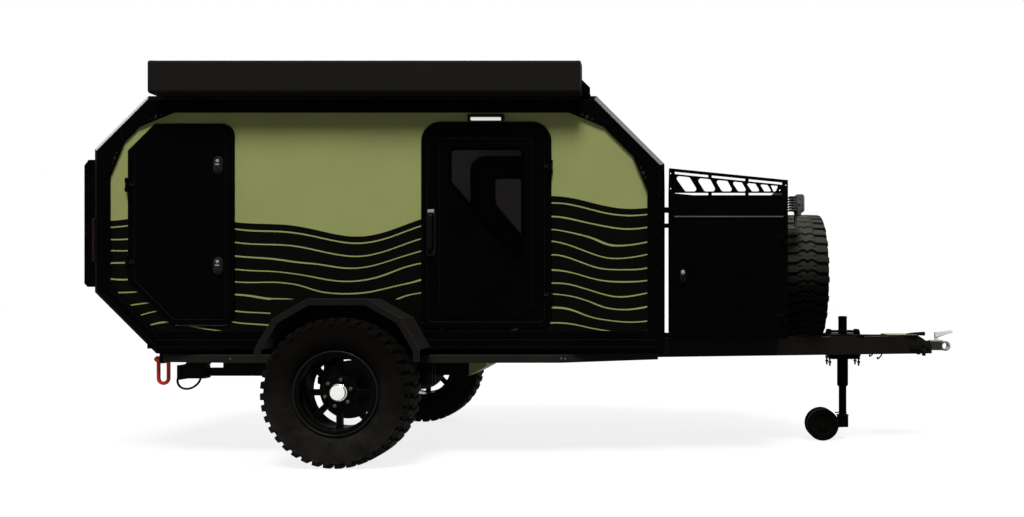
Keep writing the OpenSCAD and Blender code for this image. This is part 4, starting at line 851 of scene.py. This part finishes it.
low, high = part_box("awning_case")
awning = {"proud": (0.001, 0.0005), "corner": 0.019, "frontInset": 0.007,
          "levels": [(-0.012, 0), (0.005, 0), (0.009, 0.002), (0.010, 0.006)]}
dy, dz = awning["proud"]
outline = roundRect(low[1] - dy, high[1] + dy, low[2] - dz, high[2] + dz, awning["corner"], 8)
caps = [plate(outline, awning["levels"],
              lambda p, a=a, s=s: np.column_stack([a + s * p[:, 2], p[:, 0], p[:, 1]]))
        for a, s in ((low[0], -1), (high[0] - awning["frontInset"], 1))]
addPiece("awningEnds", join(caps), "awningGrey", "trailer")

jack = {"x": 1.9435, "bolts": (-0.094, 0.094), "y": 0.060, "top": 0.697, "low": 0.490, "rod": 0.006,
        "topNut": (0.020, 0.011), "lockNut": (0.020, 0.010), "lockHeights": (0.545, 0.520),
        "crown": [(0, 0), (0.030, 0), (0.030, 0.006), (0.0265, 0.010), (0.012, 0.012), (0, 0.012)],
        "sleeve": [(0.0265, 0), (0.034, 0), (0.036, 0.002), (0.036, 0.214), (0.034, 0.216), (0.0265, 0.216)],
        "flange": [(0, 0), (0.040, 0), (0.040, 0.005), (0.024, 0.009), (0, 0.009)],
        "crownAt": 0.803, "sleeveAt": 0.358, "flangeAt": 0.1595,
        "pin": (-0.050, 0.028), "pinAt": 0.178, "pinRadius": 0.004}
x, up, tall = jack["x"], (0, 0, 1), jack["top"] - jack["low"]
rod = [(0, 0), (jack["rod"], 0), (jack["rod"], tall), (0, tall)]
rods, nuts = [], []
for dx in jack["bolts"]:
    for s in (-1, 1):
        p = (x + dx, s * jack["y"])
        rods.append(revolve(rod, (*p, jack["low"]), up, 16))
        nuts.append(hexHead((*p, jack["top"]), up, *jack["topNut"]))
        nuts += [hexHead((*p, z), (0, 0, -1), *jack["lockNut"]) for z in jack["lockHeights"]]
addPiece("jackStuds", join(rods + nuts), "jackBlack", "trailer")
crown = revolve(jack["crown"], (x, 0, jack["crownAt"]), up, 32)
sleeve = revolve(jack["sleeve"], (x, 0, jack["sleeveAt"]), up, 40, True)
addPiece("jackCollars", join([crown, sleeve]), "jackBlack", "trailer")
flange = revolve(jack["flange"], (x, 0, jack["flangeAt"]), up, 32)
pin = sweep([(x + k, 0, jack["pinAt"]) for k in jack["pin"]], circle(jack["pinRadius"], 10), acrossY)
addPiece("jackFlange", join([flange, pin]), "jackBlack", "jack_slide")
jockey = {"at": (1.8045, 0, 0.104), "hub": [(0, 0.0455), (0.024, 0.0455), (0.024, 0.068), (0.020, 0.0705),
                                            (0.009, 0.0705), (0.009, 0.073), (0, 0.073)]}
jockeyHubs = [revolve(jockey["hub"], jockey["at"], (0, s, 0), 32) for s in (-1, 1)]
addPiece("jockeyHubs", join(jockeyHubs), "rimBlack", "jack_wheels")

nose = {"grip": [(2.352, 0.697), (2.40, 0.699), (2.45, 0.700), (2.474, 0.700)], "y": -0.052, "thin": 0.0045,
        "thick": 0.0145, "steps": (20, 18), "foot": ((2.352, -0.064, 0.686), (2.378, -0.040, 0.699), 0.002),
        "box": (2.356, 2.436, 0.598, 0.633), "boxDepth": (-0.016, 0.014), "boxRound": 0.004,
        "bolts": [(2.452, 0.632), (2.452, 0.590), (2.484, 0.612)], "boltHead": (0.022, 0.011),
        "boltSunk": 0.001, "drop": (2.462, -0.066, 0.572), "dropHead": (0.022, 0.016),
        "hook": [(2.175, 0.572), (2.172, 0.560), (2.160, 0.548), (2.150, 0.540), (2.146, 0.546),
                 (2.150, 0.553)],
        "hookY": -0.118, "hookRadius": 0.0045, "tube": (2.5115, -0.078, 0.1986)}


def tubeFace(x):
    # y of the drawbar tube's outer face: the tubes close in towards the nose
    end, y, slope = nose["tube"]
    return y - slope * (end - x)


along, around = nose["steps"]
line = smoothLine(nose["grip"], along)
share = np.linspace(0, 1, along)
swell = nose["thin"] + (nose["thick"] - nose["thin"]) * share ** 0.6
swell = (swell * np.sqrt(np.clip((1.02 - share) / 0.08, 0.15, 1)))[:, None]  # thickens, then rounds off
t = np.arange(around) * 2 * np.pi / around
tube = np.stack([line[:, :1] + 0 * t, nose["y"] + swell * np.cos(t), line[:, 1:] + swell * np.sin(t)], -1)
ends = [np.tile(tube[k].mean(0), (1, around, 1)) for k in (0, -1)]
handle = outward(np.concatenate([ends[0], tube, ends[1]]).reshape(-1, 3),
                 quadGrid(along + 2, around, False, True))
addPiece("noseLever", join([handle, roundBox(*nose["foot"])]), "handleBlack", "trailer")
x0, x1, z0, z1 = nose["box"]
y0, y1 = (tubeFace((x0 + x1) / 2) + k for k in nose["boxDepth"])
hook = sweep(onPlane(smoothLine(nose["hook"], 18), nose["hookY"]), circle(nose["hookRadius"], 10), acrossY)
rightSide = [roundBox((x0, y0, z0), (x1, y1, z1), nose["boxRound"]), hook]
rightSide += [hexHead((x, tubeFace(x) + nose["boltSunk"], z), outRight, *nose["boltHead"])
              for x, z in nose["bolts"]]
rightSide.append(hexHead(nose["drop"], (0, 0, -1), *nose["dropHead"]))
addPiece("drawbarBolts", bothSides(rightSide), "chassisBlack", "trailer")

lever = {"outline": [(2.5575, 0.679), (2.5775, 0.676), (2.627, 0.693), (2.662, 0.712), (2.662, 0.7255),
                     (2.561, 0.712)], "round": 0.004,
         "levels": [(-0.011, 0.002), (-0.009, 0), (0.009, 0), (0.011, 0.002)]}
leverBody = plate(fillet(lever["outline"], lever["round"], 4), lever["levels"], flatOnSide(0))
addPiece("couplerGrip", leverBody, "couplerSteel", "towing_head")

bolts = {"basket": [(0.805, 1.669), (0.805, 1.579), (1.481, 1.600), (1.446, 1.570)], "basketY": -0.695,
         "basketHead": (0.007, 0.003), "rail": (0.167, 0.19, -1.76), "railAt": (-0.745, 0.583),
         "railRadius": 0.007}
basketBolts = [hexHead((x, bolts["basketY"], z), outRight, *bolts["basketHead"]) for x, z in bolts["basket"]]
sidePair("basketBolts", join(basketBolts), "zinc", trailer)
railBolts = [screwHead((x, *bolts["railAt"]), outRight, bolts["railRadius"]) for x in bolts["rail"]]
sidePair("railBolts", join(railBolts), "darkSteel", trailer)
print("hardware made")


# floor, light and camera

backdrop = {"half": 40.0, "shade": 0.10, "speckle": 1.08, "floorGlow": (0.14, 0.84), "skyGlow": (0.05, 1.0)}


def seenGlow(tree, glow):
    # the second strength where the camera, a mirror or a pane looks at it, the first for all other light
    seen = tree.nodes.new("ShaderNodeLightPath").outputs
    shown = math2(tree, "ADD", math2(tree, "ADD", seen["Is Camera Ray"], seen["Is Glossy Ray"]),
                  seen["Is Transmission Ray"], True)
    return ramp(tree, shown, 0.0, 1.0, *glow)


mesh = bpy.data.meshes.new("floor")
f = backdrop["half"]
mesh.from_pydata([(-f, -f, 0), (f, -f, 0), (f, f, 0), (-f, f, 0)], [], [(0, 1, 2, 3)])
ground = bpy.data.objects.new("floor", mesh)
scene.collection.objects.link(ground)
pale, tree, shader = startMaterial("paleFloor")
tree.nodes.remove(shader)
glow = add(tree, "ShaderNodeEmission", Color=(1, 1, 1, 1),
           Strength=seenGlow(tree, backdrop["floorGlow"]))
speck = useGroup(tree, grainGroup, Scale=3.0)
shades = [(v, v, v, 1) for v in (backdrop["shade"], backdrop["shade"] * backdrop["speckle"])]
matte = add(tree, "ShaderNodeBsdfDiffuse", Color=mixColour(tree, speck.outputs["Fine"], *shades))
both = add(tree, "ShaderNodeAddShader", _0=matte.outputs[0], _1=glow.outputs[0])
tree.links.new(both.outputs[0], tree.nodes["Material Output"].inputs["Surface"])
mesh.materials.append(pale)

world = bpy.data.worlds.new("studio")
scene.world = world
world.use_nodes = True
tree = world.node_tree
tree.links.new(seenGlow(tree, backdrop["skyGlow"]), tree.nodes["Background"].inputs["Strength"])
tree.nodes["Background"].inputs["Color"].default_value = (1, 1, 1, 1)

lamps = {  # direction towards the lamp, strength, softness in degrees
    "key": ((0.03, -0.50, 0.866), 4.75, 20),
    "back": ((-0.15, 0.85, 0.45), 1.5, 30),
    "front": ((0.40, -0.10, 0.91), 1.2, 40),
    "rear": ((-0.92, -0.10, 0.38), 0.8, 40),
}
for name, (towards, power, soft) in lamps.items():
    light = bpy.data.lights.new(name, "SUN")
    light.energy, light.angle = power, math.radians(soft)
    lamp = bpy.data.objects.new(name, light)
    lamp.rotation_euler = Vector(towards).to_track_quat("Z", "Y").to_euler()
    scene.collection.objects.link(lamp)

cabinLamp = bpy.data.lights.new("cabinLamp", "POINT")  # the cabin's ceiling lamp
cabinLamp.energy, cabinLamp.shadow_soft_size = cabin["lampPower"], cabin["lampSize"]
inside = bpy.data.objects.new("cabinLamp", cabinLamp)
inside.location = cabin["lampAt"]
scene.collection.objects.link(inside)

view = {"place": (0.7775, -6.305, 0.973), "lens": 33.56, "sensor": 36.0, "shift": (-0.1504, 0.0327)}
lensData = bpy.data.cameras.new("camera")
lensData.sensor_width, lensData.lens = view["sensor"], view["lens"]
lensData.shift_x, lensData.shift_y = view["shift"]
camera = bpy.data.objects.new("camera", lensData)
camera.location = view["place"]
camera.rotation_euler = (math.pi / 2, 0, 0)
scene.collection.objects.link(camera)
scene.camera = camera
scene.view_settings.view_transform = "Standard"
print("stage set")
